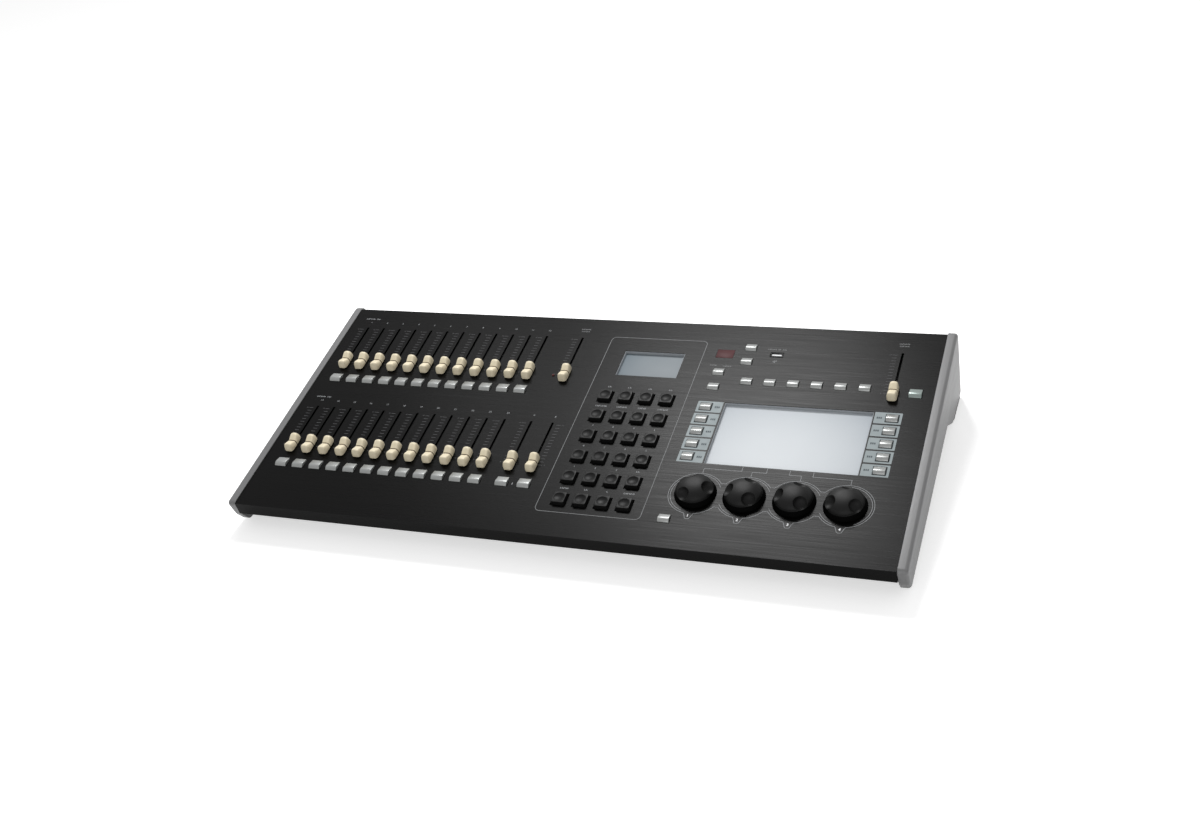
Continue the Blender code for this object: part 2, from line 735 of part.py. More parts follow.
def add_level_display(bm):
    add_centred_box(bm, LEFT_SOFTKEY_X, LEVEL_CENTRE_Y, LEVEL_WIDTH - 2 * FIT_GAP,
                    LEVEL_DEPTH - 2 * FIT_GAP, -BOARD_DROP - BOARD_THICKNESS / 2, -FIT_GAP)


def add_panel_port(bm):
    """A serial port whose tongue stands in its mouth."""
    low = -BOARD_DROP - BOARD_THICKNESS / 2
    width = PORT_WIDTH - 2 * FIT_GAP
    depth = PORT_DEPTH - 2 * FIT_GAP
    x = PORT_X
    y = PORT_Y
    loft(bm, [
        rectangle(x, y, width, depth, low),
        rectangle(x, y, width, depth, 0.0),
        rectangle(x, y, PORT_MOUTH_WIDTH, PORT_MOUTH_DEPTH, 0.0),
        rectangle(x, y, PORT_MOUTH_WIDTH, PORT_MOUTH_DEPTH, -PORT_REACH),
        rectangle(x, y, PORT_MOUTH_WIDTH - 2 * PORT_TONGUE / 3, PORT_TONGUE, -PORT_REACH),
        rectangle(x, y, PORT_MOUTH_WIDTH - 2 * PORT_TONGUE / 3, PORT_TONGUE, -1 * MM),
    ])


def make_boards(frame, finish):
    """Each board with what is soldered to it, joined into one solid."""
    for name, low, high, slides, switches in boards():

        def build_sheet(bm):
            add_box(bm, (*low, -BOARD_DROP - BOARD_THICKNESS), (*high, -BOARD_DROP))

        def build_parts(bm):
            for x, slot_top in slides:
                add_track(bm, x, slot_top)
            for x, y in switches:
                add_switch(bm, x, y)
            if name == "upper_fader_board":
                add_lamp(bm)
            if name == "control_board":
                add_level_display(bm)
                add_panel_port(bm)
                for x, y in knob_places():
                    add_encoder(bm, x, y)

        place(name, merged_mesh(build_sheet, [("UNION", build_parts)], frame), frame, finish)


def make_buttons(frame, finish):
    """Each group is one solid: caps, the flanges that hold them under the panel, and a web."""
    for name, width, depth, places in button_groups():

        def build_flanges(bm):
            for x, y in places:
                add_centred_box(bm, x, y, width + 2 * FLANGE_MARGIN, depth + 2 * FLANGE_MARGIN,
                                FLANGE_BOTTOM, FLANGE_TOP)

        def build_caps(bm):
            for x, y in places:
                add_wedge_cap(bm, x, y, width, depth)

        webs = [web_builder(run) for run in web_runs(places)]
        others = [("UNION", build) for build in webs[1:] + [build_flanges, build_caps]]
        place(name, merged_mesh(webs[0], others, frame), frame, finish)


def make_keys(frame, finish):
    """All keycaps on one carrier sheet."""
    keys = key_places()

    def build_carrier(bm):
        half_x = KEY_WIDTH / 2 + FLANGE_MARGIN
        half_y = KEY_DEPTH / 2 + FLANGE_MARGIN
        low = (keys[0][0] - half_x, keys[0][1] - half_y, FLANGE_BOTTOM)
        add_box(bm, low, (keys[-1][0] + half_x, keys[-1][1] + half_y, FLANGE_TOP))

    def build_caps(bm):
        for x, y in keys:
            add_key_cap(bm, x, y)

    place("keypad_keys", merged_mesh(build_carrier, [("UNION", build_caps)], frame), frame, finish)


def knob_profile():
    """Shaft, inner recess, skirt and dome of a knob."""
    shoulder = KNOB_SHOULDER_RADIUS
    dome = KNOB_RISE - KNOB_SHOULDER_RISE
    sphere = (shoulder ** 2 + dome ** 2) / (2 * dome)
    recess = BUSHING_RADIUS + 3 * MM
    shaft_low = -BOARD_DROP + 2 * FIT_GAP + ENCODER_FLOOR
    profile = [
        (0.0, shaft_low),
        (SHAFT_RADIUS, shaft_low),
        (SHAFT_RADIUS, BUSHING_RISE + 2 * FIT_GAP),
        (recess, BUSHING_RISE + 2 * FIT_GAP),
        (recess, KNOB_LIFT),
        (KNOB_BASE_RADIUS, KNOB_LIFT),
        (shoulder, KNOB_SHOULDER_RISE),
    ]
    for share in (0.8, 0.5):
        radius = shoulder * share
        profile.append((radius, KNOB_RISE - sphere + math.sqrt(sphere ** 2 - radius ** 2)))
    profile.append((0.0, KNOB_RISE))
    return profile


def build_knob(bm):
    add_turned(bm, knob_profile(), KNOB_SEGMENTS)


def build_scoops(bm):
    for index in range(SCOOP_COUNT):
        angle = 2 * math.pi * index / SCOOP_COUNT
        orbit = KNOB_SHOULDER_RADIUS - SCOOP_INSET
        centre = Matrix.Translation((orbit * math.cos(angle), orbit * math.sin(angle), SCOOP_RISE))
        bmesh.ops.create_icosphere(bm, subdivisions=2, radius=SCOOP_RADIUS, matrix=centre)


def make_knobs(frame, finish):
    mesh = merged_mesh(build_knob, [("DIFFERENCE", build_scoops)], frame)
    for index, (x, y) in enumerate(knob_places()):
        knob = place("knob_%d" % (index + 1), mesh, frame, finish, (x, y, 0.0), round_piece=True)
        knob.rotation_euler.z = math.radians(KNOB_TURNS[index])


def add_dished_module(bm, x, y, width, depth):
    """A display module: a rim under the window's edge and a glass face lower down."""
    rim_top = -(PANEL_THICKNESS + FIT_GAP)
    outer = (width + 2 * BEZEL_MARGIN, depth + 2 * BEZEL_MARGIN)
    rings = [
        rectangle(x, y, outer[0], outer[1], -MODULE_BOTTOM),
        rectangle(x, y, outer[0], outer[1], rim_top),
        rectangle(x, y, width, depth, rim_top),
        rectangle(x, y, width, depth, -GLASS_DROP),
    ]
    loft(bm, rings)


def make_displays(frame, screen_finish, text_finish):

    def build_screen(bm):
        add_dished_module(bm, SCREEN_CENTRE_X, SCREEN_CENTRE_Y, SCREEN_WIDTH, SCREEN_DEPTH)

    def build_text(bm):
        add_dished_module(bm, KEYPAD_CENTRE_X, TEXT_CENTRE_Y, TEXT_WIDTH, TEXT_DEPTH)

    make("touchscreen", frame, screen_finish, build_screen)
    make("text_display", frame, text_finish, build_text)


def build_panel_sheet(bm):
    """The sheet with its front edge folded down as a lip."""
    sheet = PANEL_THICKNESS
    outline = [
        (0.0, 0.0),
        (PANEL_DEPTH, 0.0),
        (PANEL_DEPTH, -sheet),
        (sheet, -sheet),
        (sheet, -LIP_DROP),
        (0.0, -LIP_DROP),
    ]
    add_across(bm, outline, FIT_GAP, PANEL_WIDTH - FIT_GAP)


def build_panel_studs(bm):
    low = -BOARD_DROP + FIT_GAP
    for x, y in stud_places():
        profile = [(0.0, low), (STUD_RADIUS, low), (STUD_RADIUS, -PANEL_THICKNESS / 2), (0.0, -PANEL_THICKNESS / 2)]
        add_turned(bm, profile, 8, x, y)


def build_panel_holes(bm):
    """Slots, button holes, windows and round holes, all right through the sheet."""
    low = -2 * PANEL_THICKNESS
    high = 2 * PANEL_THICKNESS
    for _, x, slot_top in fader_places():
        add_centred_box(bm, x, slot_top - SLOT_LENGTH / 2, SLOT_WIDTH, SLOT_LENGTH, low, high)
    for _, width, depth, places in button_groups():
        for x, y in places:
            add_centred_box(bm, x, y, width + 2 * BUTTON_GAP, depth + 2 * BUTTON_GAP, low, high)
    for x, y in key_places():
        add_centred_box(bm, x, y, KEY_WIDTH + 2 * BUTTON_GAP, KEY_DEPTH + 2 * BUTTON_GAP, low, high)
    windows = [
        (SCREEN_CENTRE_X, SCREEN_CENTRE_Y, SCREEN_WIDTH, SCREEN_DEPTH),
        (KEYPAD_CENTRE_X, TEXT_CENTRE_Y, TEXT_WIDTH, TEXT_DEPTH),
        (LEFT_SOFTKEY_X, LEVEL_CENTRE_Y, LEVEL_WIDTH, LEVEL_DEPTH),
        (PORT_X, PORT_Y, PORT_WIDTH, PORT_DEPTH),
    ]
    for x, y, width, depth in windows:
        add_centred_box(bm, x, y, width, depth, low, high)
    rounds = [(x, y, BUSHING_RADIUS + FIT_GAP, 16) for x, y in knob_places()]
    rounds.append((LAMP_X, LAMP_Y, LAMP_RADIUS + FIT_GAP, 10))
    for x, y, radius, segments in rounds:
        add_turned(bm, [(0.0, low), (radius, low), (radius, high), (0.0, high)], segments, x, y)


def make_panel(frame, finish):
    panel = make("top_panel", frame, finish, build_panel_sheet)
    studs = make("panel_studs_join", frame, None, build_panel_studs)
    holes = make("panel_holes_cutter", frame, None, build_panel_holes)
    boolean(panel, studs, "UNION")
    boolean(panel, holes, "DIFFERENCE")


def cheek_outline():
    """Side view of an end cheek, with its rear foot."""
    rear = PANEL_DEPTH + CHEEK_REAR_REACH
    foot_front = rear - REAR_FOOT_LENGTH
    foot_top = foot_front - REAR_FOOT_LEAN
    front = -CHEEK_FRONT_REACH
    chin = front + CHEEK_CHIN
    lift = FOOT_PAD_THICKNESS
    corners = [
        (front, CHEEK_PROUD, CHEEK_CORNER_RADIUS),
        (front + CHEEK_KNEE[0], -CHEEK_KNEE[1], CHEEK_KNEE_RADIUS),
        (chin, underside_z(chin) - CHEEK_DROP, CHEEK_CHIN_RADIUS),
        (foot_top, underside_z(foot_top) - CHEEK_DROP, FOOT_ARCH_RADIUS),
        (foot_front, floor_z(foot_front) + lift, FOOT_TOE_RADIUS),
        (rear, floor_z(rear) + lift, CHEEK_CORNER_RADIUS),
        (rear, CHEEK_PROUD, CHEEK_REAR_RADIUS),
    ]
    return rounded_outline(corners)


def make_cheek(name, frame, finish, inner_x, side):
    """A plate with its outer edge rounded over."""
    outline = cheek_outline()
    radius = CHEEK_EDGE_RADIUS
    steps = [(0.0, 0.0), (CHEEK_THICKNESS - radius, 0.0)]
    for angle in (30, 60, 90):
        turn = math.radians(angle)
        steps.append((CHEEK_THICKNESS - radius + radius * math.sin(turn), radius * (1 - math.cos(turn))))

    def build(bm):
        rings = []
        for reach, inset in steps:
            points = inset_outline(outline, inset) if inset else outline
            rings.append([(inner_x + side * reach, point.x, point.y) for point in points])
        loft(bm, rings)

    make(name, frame, finish, build, round_piece=True)


def rear_panel_low_z():
    """Lower edge of the rear panel, a fit gap above the pan's floor."""
    return underside_z(REAR_PANEL_Y) + PAN_SHEET + FIT_GAP


def build_pan(bm):
    """A tray: front wall behind the lip, a wall that leans back below it, sloping floor and rear flange."""
    sheet = PAN_SHEET
    wall = PANEL_THICKNESS + FIT_GAP
    knee = wall + PAN_CHAMFER
    rear = REAR_PANEL_Y - FIT_GAP
    end = PANEL_DEPTH
    lean = math.atan2(PAN_CHAMFER, -underside_z(knee) - LIP_DROP)
    flat = math.pi / 2 - math.atan(UNDERSIDE_SLOPE)
    inner_knee = knee - sheet * math.tan((flat - lean) / 2) + sheet * UNDERSIDE_SLOPE
    outline = [
        (wall, -PANEL_THICKNESS - FIT_GAP),
        (wall + sheet, -PANEL_THICKNESS - FIT_GAP),
        (wall + sheet, -LIP_DROP + sheet * math.tan(lean / 2)),
        (inner_knee, underside_z(inner_knee) + sheet),
        (rear - sheet, underside_z(rear - sheet) + sheet),
        (rear - sheet, underside_z(rear) + SCREW_EDGE * 1.5),
        (rear, underside_z(rear) + SCREW_EDGE * 1.5),
        (rear, underside_z(rear) + sheet),
        (end, underside_z(end) + sheet),
        (end, underside_z(end)),
        (knee, underside_z(knee)),
        (wall, -LIP_DROP),
    ]
    add_across(bm, outline, FIT_GAP, PANEL_WIDTH - FIT_GAP)


def supply_corner():
    """Low corner of the power supply."""
    rear = REAR_PANEL_Y - SUPPLY_REAR_GAP
    front = rear - SUPPLY_SIZE[1]
    return SUPPLY_X, front, underside_z(front) + PAN_SHEET + 2 * MM


def build_posts(bm):
    """Spacers on the pan under the main board and the power supply."""
    x_low, x_high = MAIN_BOARD_X
    y_low, y_high = MAIN_BOARD_Y
    inset = 2 * POST_RADIUS
    top = -MAIN_BOARD_DROP - BOARD_THICKNESS - FIT_GAP
    left, front, low = supply_corner()
    posts = [(x, y, top) for x in (x_low + inset, x_high - inset) for y in (y_low + inset, y_high - inset)]
    for x in (left + inset, left + SUPPLY_SIZE[0] - inset):
        for y in (front + inset, front + SUPPLY_SIZE[1] - inset):
            posts.append((x, y, low - FIT_GAP))
    for x, y, high in posts:
        base = underside_z(y) + PAN_SHEET / 2
        add_turned(bm, [(0.0, base), (POST_RADIUS, base), (POST_RADIUS, high), (0.0, high)], 8, x, y)


def pan_screw_places():
    span = PANEL_DEPTH - 6 * SCREW_EDGE
    places = []
    for x in (2 * SCREW_EDGE, PANEL_WIDTH - 2 * SCREW_EDGE):
        for index in range(PAN_SCREW_COUNT):
            places.append((x, 4 * SCREW_EDGE + index * span / (PAN_SCREW_COUNT - 1)))
    return places


def rear_screw_places():
    """x and z of each screw along the rear panel's lower edge."""
    z = underside_z(REAR_PANEL_Y) + PAN_SHEET + SCREW_EDGE * 0.8
    span = PANEL_WIDTH - 4 * SCREW_EDGE
    return [(2 * SCREW_EDGE + index * span / (REAR_SCREW_COUNT - 1), z) for index in range(REAR_SCREW_COUNT)]


def add_rod(bm, radius, segments, start, end):
    """A plain rod between two points, used for screw shanks and their holes."""
    along = Vector(end) - Vector(start)
    turn = along.to_track_quat("Z", "Y").to_matrix().to_4x4()
    matrix = Matrix.Translation(start) @ turn
    rings = []
    for z in (0.0, along.length):
        rings.append([matrix @ Vector(point) for point in circle(radius, segments, z)])
    loft(bm, rings)


def build_pan_holes(bm):
    radius = SCREW_RADIUS + FIT_GAP
    for x, y in pan_screw_places():
        z = underside_z(y)
        add_rod(bm, radius, 8, (x, y, z - 4 * MM), (x, y, z + 4 * MM))
    for x, z in rear_screw_places():
        add_rod(bm, radius, 8, (x, REAR_PANEL_Y - 5 * MM, z), (x, REAR_PANEL_Y + 1 * MM, z))


def make_pan(frame, finish):
    pan = make("base_pan", frame, finish, build_pan)
    boolean(pan, make("pan_posts_join", frame, None, build_posts), "UNION")
    boolean(pan, make("pan_holes_cutter", frame, None, build_pan_holes), "DIFFERENCE")


def fitting_z():
    return -FITTING_DROP


def build_rear_sheet(bm):
    low = rear_panel_low_z()
    high = -(PANEL_THICKNESS + FIT_GAP)
    add_box(bm, (FIT_GAP, REAR_PANEL_Y, low), (PANEL_WIDTH - FIT_GAP, REAR_PANEL_Y + REAR_PANEL_SHEET, high))


def add_rear_box(bm, x, size, y_low, y_high, grow=0.0, z=None):
    middle = fitting_z() if z is None else z
    half_x = size[0] / 2 + grow
    half_z = size[1] / 2 + grow
    add_box(bm, (x - half_x, y_low, middle - half_z), (x + half_x, y_high, middle + half_z))


def rocker_housing_size():
    return ROCKER_SIZE[0] + 2 * ROCKER_WALL, ROCKER_SIZE[1] + 2 * ROCKER_WALL


def rear_box_fittings():
    """Centre x and size of each rectangular fitting in the rear panel."""
    return [
        (VIDEO_X, VIDEO_SIZE),
        (HOST_PORT_X, HOST_PORT_SIZE),
        (INLET_X, INLET_SIZE),
        (ROCKER_X, rocker_housing_size()),
    ]


def build_rear_holes(bm):
    y_low = REAR_PANEL_Y - 3 * MM
    y_high = REAR_PANEL_Y + REAR_PANEL_SHEET + 3 * MM
    for x, size in rear_box_fittings():
        add_rear_box(bm, x, size, y_low, y_high, grow=FIT_GAP)
    rounds = [(x, fitting_z(), DATA_RADIUS + FIT_GAP, 20) for x in DATA_OUTPUT_X]
    rounds += [(x, fitting_z(), ROUND_RADIUS + FIT_GAP, 16) for x in ROUND_SOCKET_X]
    rounds += [(x, z, SCREW_RADIUS + FIT_GAP, 8) for x, z in rear_screw_places()]
    for x, z, radius, segments in rounds:
        add_rod(bm, radius, segments, (x, y_low, z), (x, y_high, z))


def make_rear_panel(frame, finish):
    panel = make("rear_panel", frame, finish, build_rear_sheet)
    boolean(panel, make("rear_holes_cutter", frame, None, build_rear_holes), "DIFFERENCE")


def add_rear_turned(bm, profile, segments, x):
    """Turn (radius, distance) points about a line through the rear panel, outwards along y."""
    start = len(bm.verts)
    add_turned(bm, profile, segments)
    bm.verts.ensure_lookup_table()
    matrix = Matrix.Translation((x, 0.0, fitting_z())) @ Matrix.Rotation(math.radians(-90), 4, "X")
    for vert in list(bm.verts)[start:]:
        vert.co = matrix @ vert.co


def fitting_face():
    """The rear panel's outer face, where fittings' flanges rest."""
    return REAR_PANEL_Y + REAR_PANEL_SHEET + FIT_GAP


def make_rear_sockets(frame, finish):
    """Data outputs, round control sockets, a video outlet and a serial port on one upright board."""
    face = fitting_face()
    outer = face + FITTING_LIP
    inner = face - FITTING_REACH
    start = inner - BOARD_THICKNESS / 2
    groove = 9 * MM
    slot = (PORT_MOUTH_DEPTH - PORT_TONGUE) / 2
    centres = [*DATA_OUTPUT_X, *ROUND_SOCKET_X, VIDEO_X, HOST_PORT_X]

    def build_board(bm):
        low = (min(centres) - SOCKET_BOARD_MARGIN, inner - BOARD_THICKNESS, fitting_z() - SOCKET_BOARD_MARGIN)
        add_box(bm, low, (max(centres) + SOCKET_BOARD_MARGIN, inner, fitting_z() + DATA_RADIUS))

    def build_bodies(bm):
        add_rear_box(bm, HOST_PORT_X, HOST_PORT_SIZE, start, outer)
        add_rear_box(bm, VIDEO_X, VIDEO_SIZE, start, outer)
        for x in DATA_OUTPUT_X:
            add_rear_turned(bm, [
                (0.0, start), (DATA_RADIUS, start), (DATA_RADIUS, face), (DATA_RADIUS + 1.6 * MM, face),
                (DATA_RADIUS + 1.6 * MM, outer), (DATA_RADIUS - 1 * MM, outer),
                (DATA_RADIUS - 1 * MM, outer - groove), (DATA_RADIUS - 3.2 * MM, outer - groove),
                (DATA_RADIUS - 3.2 * MM, outer), (0.0, outer),
            ], 20, x)
        for x in ROUND_SOCKET_X:
            add_rear_turned(bm, [
                (0.0, start), (ROUND_RADIUS, start), (ROUND_RADIUS, outer), (ROUND_RADIUS - 1.5 * MM, outer),
                (ROUND_RADIUS - 1.5 * MM, outer - groove), (ROUND_RADIUS - 2.8 * MM, outer - groove),
                (ROUND_RADIUS - 2.8 * MM, outer), (0.0, outer),
            ], 16, x)

    def build_slots(bm):
        for side in (-1, 1):
            z = fitting_z() + side * (PORT_TONGUE + slot) / 2
            add_rear_box(bm, HOST_PORT_X, (PORT_MOUTH_WIDTH, slot), outer - PORT_REACH, outer + 4 * MM, z=z)

    mesh = merged_mesh(build_board, [("UNION", build_bodies), ("DIFFERENCE", build_slots)], frame)
    place("rear_sockets", mesh, frame, finish)


def make_power_supply(frame, finish):
    """The supply with its mains inlet and the well of its switch, which face the rear."""
    left, front, low = supply_corner()
    face = fitting_face()
    outer = face + FITTING_LIP

    def build_cover(bm):
        add_box(bm, (left, front, low), (left + SUPPLY_SIZE[0], front + SUPPLY_SIZE[1], low + SUPPLY_SIZE[2]))

    def build_necks(bm):
        add_rear_box(bm, INLET_X, INLET_SIZE, face - INLET_REACH, face + FITTING_LIP / 2)
        add_rear_box(bm, ROCKER_X, rocker_housing_size(), face - INLET_REACH, face + FITTING_LIP / 2)

    def build_flanges(bm):
        add_rear_box(bm, INLET_X, INLET_SIZE, face, outer, grow=INLET_FLANGE)
        add_rear_box(bm, ROCKER_X, rocker_housing_size(), face, outer, grow=ROCKER_WALL)

    def build_wells(bm):
        add_rear_box(bm, INLET_X, INLET_MOUTH, outer - INLET_MOUTH_REACH, outer + 5 * MM)
        add_rear_box(bm, ROCKER_X, ROCKER_SIZE, face - ROCKER_WELL_REACH, outer + 5 * MM)

    steps = [("UNION", build_necks), ("UNION", build_flanges), ("DIFFERENCE", build_wells)]
    place("power_supply", merged_mesh(build_cover, steps, frame), frame, finish)


def make_rocker(frame, finish):
    """A rocker on a pivot across its well, tilted to the off side."""
    pivot = (ROCKER_X, fitting_face() - ROCKER_PIVOT_DROP, fitting_z())
    tip = 0.92 * ROCKER_SIZE[1] / 2
    nose = ROCKER_PIVOT_DROP + FITTING_LIP
    outline = [
        (-0.5 * tip, -0.3 * tip),
        (0.4 * nose, -tip),
        (nose, -tip),
        (0.8 * nose, 0.0),
        (nose, tip),
        (0.4 * nose, tip),
        (-0.5 * tip, 0.3 * tip),
    ]

    def build(bm):
        half_x = ROCKER_SIZE[0] / 2 - FIT_GAP
        add_across(bm, outline, -half_x, half_x)

    rocker = make("power_rocker", frame, finish, build, location=pivot)
    rocker.rotation_euler.x = ROCKER_SWING


def make_main_board(frame, finish):
    x_low, x_high = MAIN_BOARD_X
    y_low, y_high = MAIN_BOARD_Y
    low = -MAIN_BOARD_DROP - BOARD_THICKNESS

    def build_sheet(bm):
        add_box(bm, (x_low, y_low, low), (x_high, y_high, -MAIN_BOARD_DROP))

    def build_chips(bm):
        width = x_high - x_low
        depth = y_high - y_low
        chips = [
            (0.25, 0.55, 24 * MM, 24 * MM, 3 * MM),
            (0.45, 0.30, 18 * MM, 12 * MM, 2 * MM),
            (0.62, 0.60, 30 * MM, 10 * MM, 6 * MM),
            (0.80, 0.35, 14 * MM, 14 * MM, 9 * MM),
            (0.10, 0.25, 10 * MM, 10 * MM, 9 * MM),
        ]
        for share_x, share_y, wide, deep, rise in chips:
            add_centred_box(bm, x_low + share_x * width, y_low + share_y * depth, wide, deep,
                            low + BOARD_THICKNESS / 2, -MAIN_BOARD_DROP + rise)

    place("main_board", merged_mesh(build_sheet, [("UNION", build_chips)], frame), frame, finish)


def make_feet(frame, finish):
    """Pads under the cheeks' rear feet and under the pan's front corners."""
    rear = PANEL_DEPTH + CHEEK_REAR_REACH - FOOT_PAD_INSET
    gap = FIT_GAP / SLOPE_COS
    edge = (CHEEK_THICKNESS - FOOT_PAD_WIDTH) / 2
    start = FRONT_PAD_START

    def pad(y_low, y_high, top):
        return [(y_low, floor_z(y_low)), (y_high, floor_z(y_high)), (y_high, top(y_high)), (y_low, top(y_low))]

    rear_pad = pad(rear - FOOT_PAD_LENGTH, rear, lambda y: floor_z(y) + FOOT_PAD_THICKNESS - gap)
    front_pad = pad(start, start + FRONT_PAD_LENGTH, lambda y: underside_z(y) - FIT_GAP)
    feet = [
        ("rear_left_foot", rear_pad, -CHEEK_THICKNESS + edge, FOOT_PAD_WIDTH),
        ("rear_right_foot", rear_pad, PANEL_WIDTH + edge, FOOT_PAD_WIDTH),
        ("front_left_foot", front_pad, FRONT_PAD_INSET, FRONT_PAD_WIDTH),
        ("front_right_foot", front_pad, PANEL_WIDTH - FRONT_PAD_INSET - FRONT_PAD_WIDTH, FRONT_PAD_WIDTH),
    ]
    for name, outline, low, width in feet:

        def build(bm):
            add_across(bm, outline, low, low + width)

        make(name, frame, finish, build)


def make_frame():
    """The panel frame, placed so that the case stands centred on the world's origin."""
    along = [point.x * SLOPE_COS - point.y * SLOPE_SIN for point in cheek_outline()]
    frame = bpy.data.objects.new("panel_frame", None)
    bpy.context.scene.collection.objects.link(frame)
    frame.location = (-PANEL_WIDTH / 2, -(min(along) + max(along)) / 2, FRONT_HEIGHT)
    frame.rotation_euler.x = PANEL_TILT
    return frame


def main():
    clear_scene()
    frame = make_frame()
    black_panel = material("black_panel", (0.05, 0.05, 0.055), 0.45, 0.6)
    black_steel = material("black_steel", (0.02, 0.02, 0.022), 0.5, 0.4)
    grey_metal = material("grey_metal", (0.55, 0.56, 0.56), 0.4, 0.6)
    cream = material("cream_plastic", (0.80, 0.74, 0.62), 0.4)
    silver = material("silver_plastic", (0.55, 0.57, 0.57), 0.35, 0.3)
    black_plastic = material("black_plastic", (0.015, 0.015, 0.016), 0.4)
    dark_plastic = material("dark_plastic", (0.03, 0.03, 0.03), 0.5)
    rubber = material("rubber", (0.02, 0.02, 0.02), 0.9)
    green_board = material("green_board", (0.02, 0.16, 0.06), 0.5)
    screen_glass = material("screen_glass", (0.80, 0.80, 0.85), 0.2)
    display_glass = material("display_glass", (0.55, 0.60, 0.68), 0.2)
    make_panel(frame, black_panel)
    make_pan(frame, black_steel)
    make_rear_panel(frame, black_steel)
    make_cheek("left_cheek", frame, grey_metal, 0.0, -1)
    make_cheek("right_cheek", frame, grey_metal, PANEL_WIDTH, 1)
    make_faders(frame, cream)
    make_boards(frame, green_board)
    make_buttons(frame, silver)
    make_keys(frame, black_plastic)
    make_knobs(frame, black_plastic)
    make_displays(frame, screen_glass, display_glass)
    make_rear_sockets(frame, dark_plastic)
    make_power_supply(frame, dark_plastic)
    make_rocker(frame, black_plastic)
    make_main_board(frame, green_board)
    make_feet(frame, rubber)


main()
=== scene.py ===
"""Looks of the lighting control console: finishes, rounded forms, printed marks, floor and light.

Pieces are built in the panel's own frame, in metres: x runs right, y up the slope to the rear
and z out of the panel, from its front left corner. PANEL turns that frame into the row frame.
"""
import math

import bmesh
import bpy
from mathutils import Euler, Matrix, Vector


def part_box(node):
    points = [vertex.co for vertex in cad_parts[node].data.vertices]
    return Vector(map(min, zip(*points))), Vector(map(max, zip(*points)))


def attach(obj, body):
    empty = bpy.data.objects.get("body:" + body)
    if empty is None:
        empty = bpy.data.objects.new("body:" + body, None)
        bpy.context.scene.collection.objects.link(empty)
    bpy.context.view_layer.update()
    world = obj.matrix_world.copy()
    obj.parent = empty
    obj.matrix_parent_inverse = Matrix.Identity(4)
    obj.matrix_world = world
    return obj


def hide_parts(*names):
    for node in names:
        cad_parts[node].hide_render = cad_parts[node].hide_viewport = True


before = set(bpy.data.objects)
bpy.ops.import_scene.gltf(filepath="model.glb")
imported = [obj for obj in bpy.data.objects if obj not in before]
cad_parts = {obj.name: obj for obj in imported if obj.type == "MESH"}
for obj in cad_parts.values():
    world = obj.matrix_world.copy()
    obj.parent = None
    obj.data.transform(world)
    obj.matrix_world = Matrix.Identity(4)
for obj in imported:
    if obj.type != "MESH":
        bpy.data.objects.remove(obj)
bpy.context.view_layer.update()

MM = 0.001

# Case, as in the part
PANEL_WIDTH = 707.0 * MM
PANEL_DEPTH = 331.0 * MM
PANEL_TILT = math.radians(9.4)
FRONT_HEIGHT = 35.0 * MM
PANEL = Matrix.Translation((-PANEL_WIDTH / 2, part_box("top_panel")[0].y, FRONT_HEIGHT)) @ Matrix.Rotation(
    PANEL_TILT, 4, "X")
CHEEK_THICKNESS = 10.0 * MM
CHEEK_PROUD = 1.2 * MM
CHEEK_REAR_REACH = 7.0 * MM
CHEEK_FRONT_REACH = 1.0 * MM
CHEEK_EDGE_RADIUS = 3.6 * MM
CHEEK_CORNER_RADIUS = 4.2 * MM
CHEEK_REAR_RADIUS = 9.0 * MM
CHEEK_DROP = 0.5 * MM
CHEEK_KNEE = (3.6 * MM, 20.0 * MM)
CHEEK_KNEE_RADIUS = 18.0 * MM
CHEEK_CHIN = 10.9 * MM
CHEEK_CHIN_RADIUS = 8.0 * MM
FRONT_DEPTH = 33.4 * MM
UNDERSIDE_SLOPE = 0.068
REAR_FOOT_LENGTH = 62.5 * MM
REAR_FOOT_LEAN = 32.5 * MM
FOOT_ARCH_RADIUS = 4.0 * MM
FOOT_TOE_RADIUS = 6.0 * MM
FOOT_PAD_THICKNESS = 4.0 * MM
REAR_PANEL_Y = PANEL_DEPTH - 5.0 * MM
REAR_PANEL_SHEET = 1.5 * MM
FIT_GAP = 0.3 * MM

# Faders
FADER_COUNT = 12
FADER_PITCH = 0.0302 * PANEL_WIDTH
FADER_FIRST_X = 0.0356 * PANEL_WIDTH
FADER_TRAVEL = 60.0 * MM
UPPER_SLOT_TOP = 0.8991 * PANEL_DEPTH
LOWER_SLOT_TOP = 0.4767 * PANEL_DEPTH
MASTER_FADER_X = 0.4303 * PANEL_WIDTH
FADER_A_X = 0.4122 * PANEL_WIDTH
FADER_B_X = 0.4475 * PANEL_WIDTH
RIGHT_FADER_X = PANEL_WIDTH - 0.0588 * PANEL_WIDTH
LEVER_THICKNESS = 1.4 * MM
LEVER_LENGTH = 6.0 * MM
SLOT_END_GAP = 0.6 * MM
CAP_LENGTH = 23.6 * MM
CAP_WIDTH = 10.4 * MM
CAP_TOP_WIDTH = 8.0 * MM
CAP_HEIGHT = 10.4 * MM
CAP_LIFT = 1.0 * MM
CARRIAGE_LOW = -11.4 * MM
CARRIAGE_HEIGHT = 3.0 * MM
CARRIAGE_WIDTH = 6.4 * MM
GROOVE_HALF = 0.35 * MM

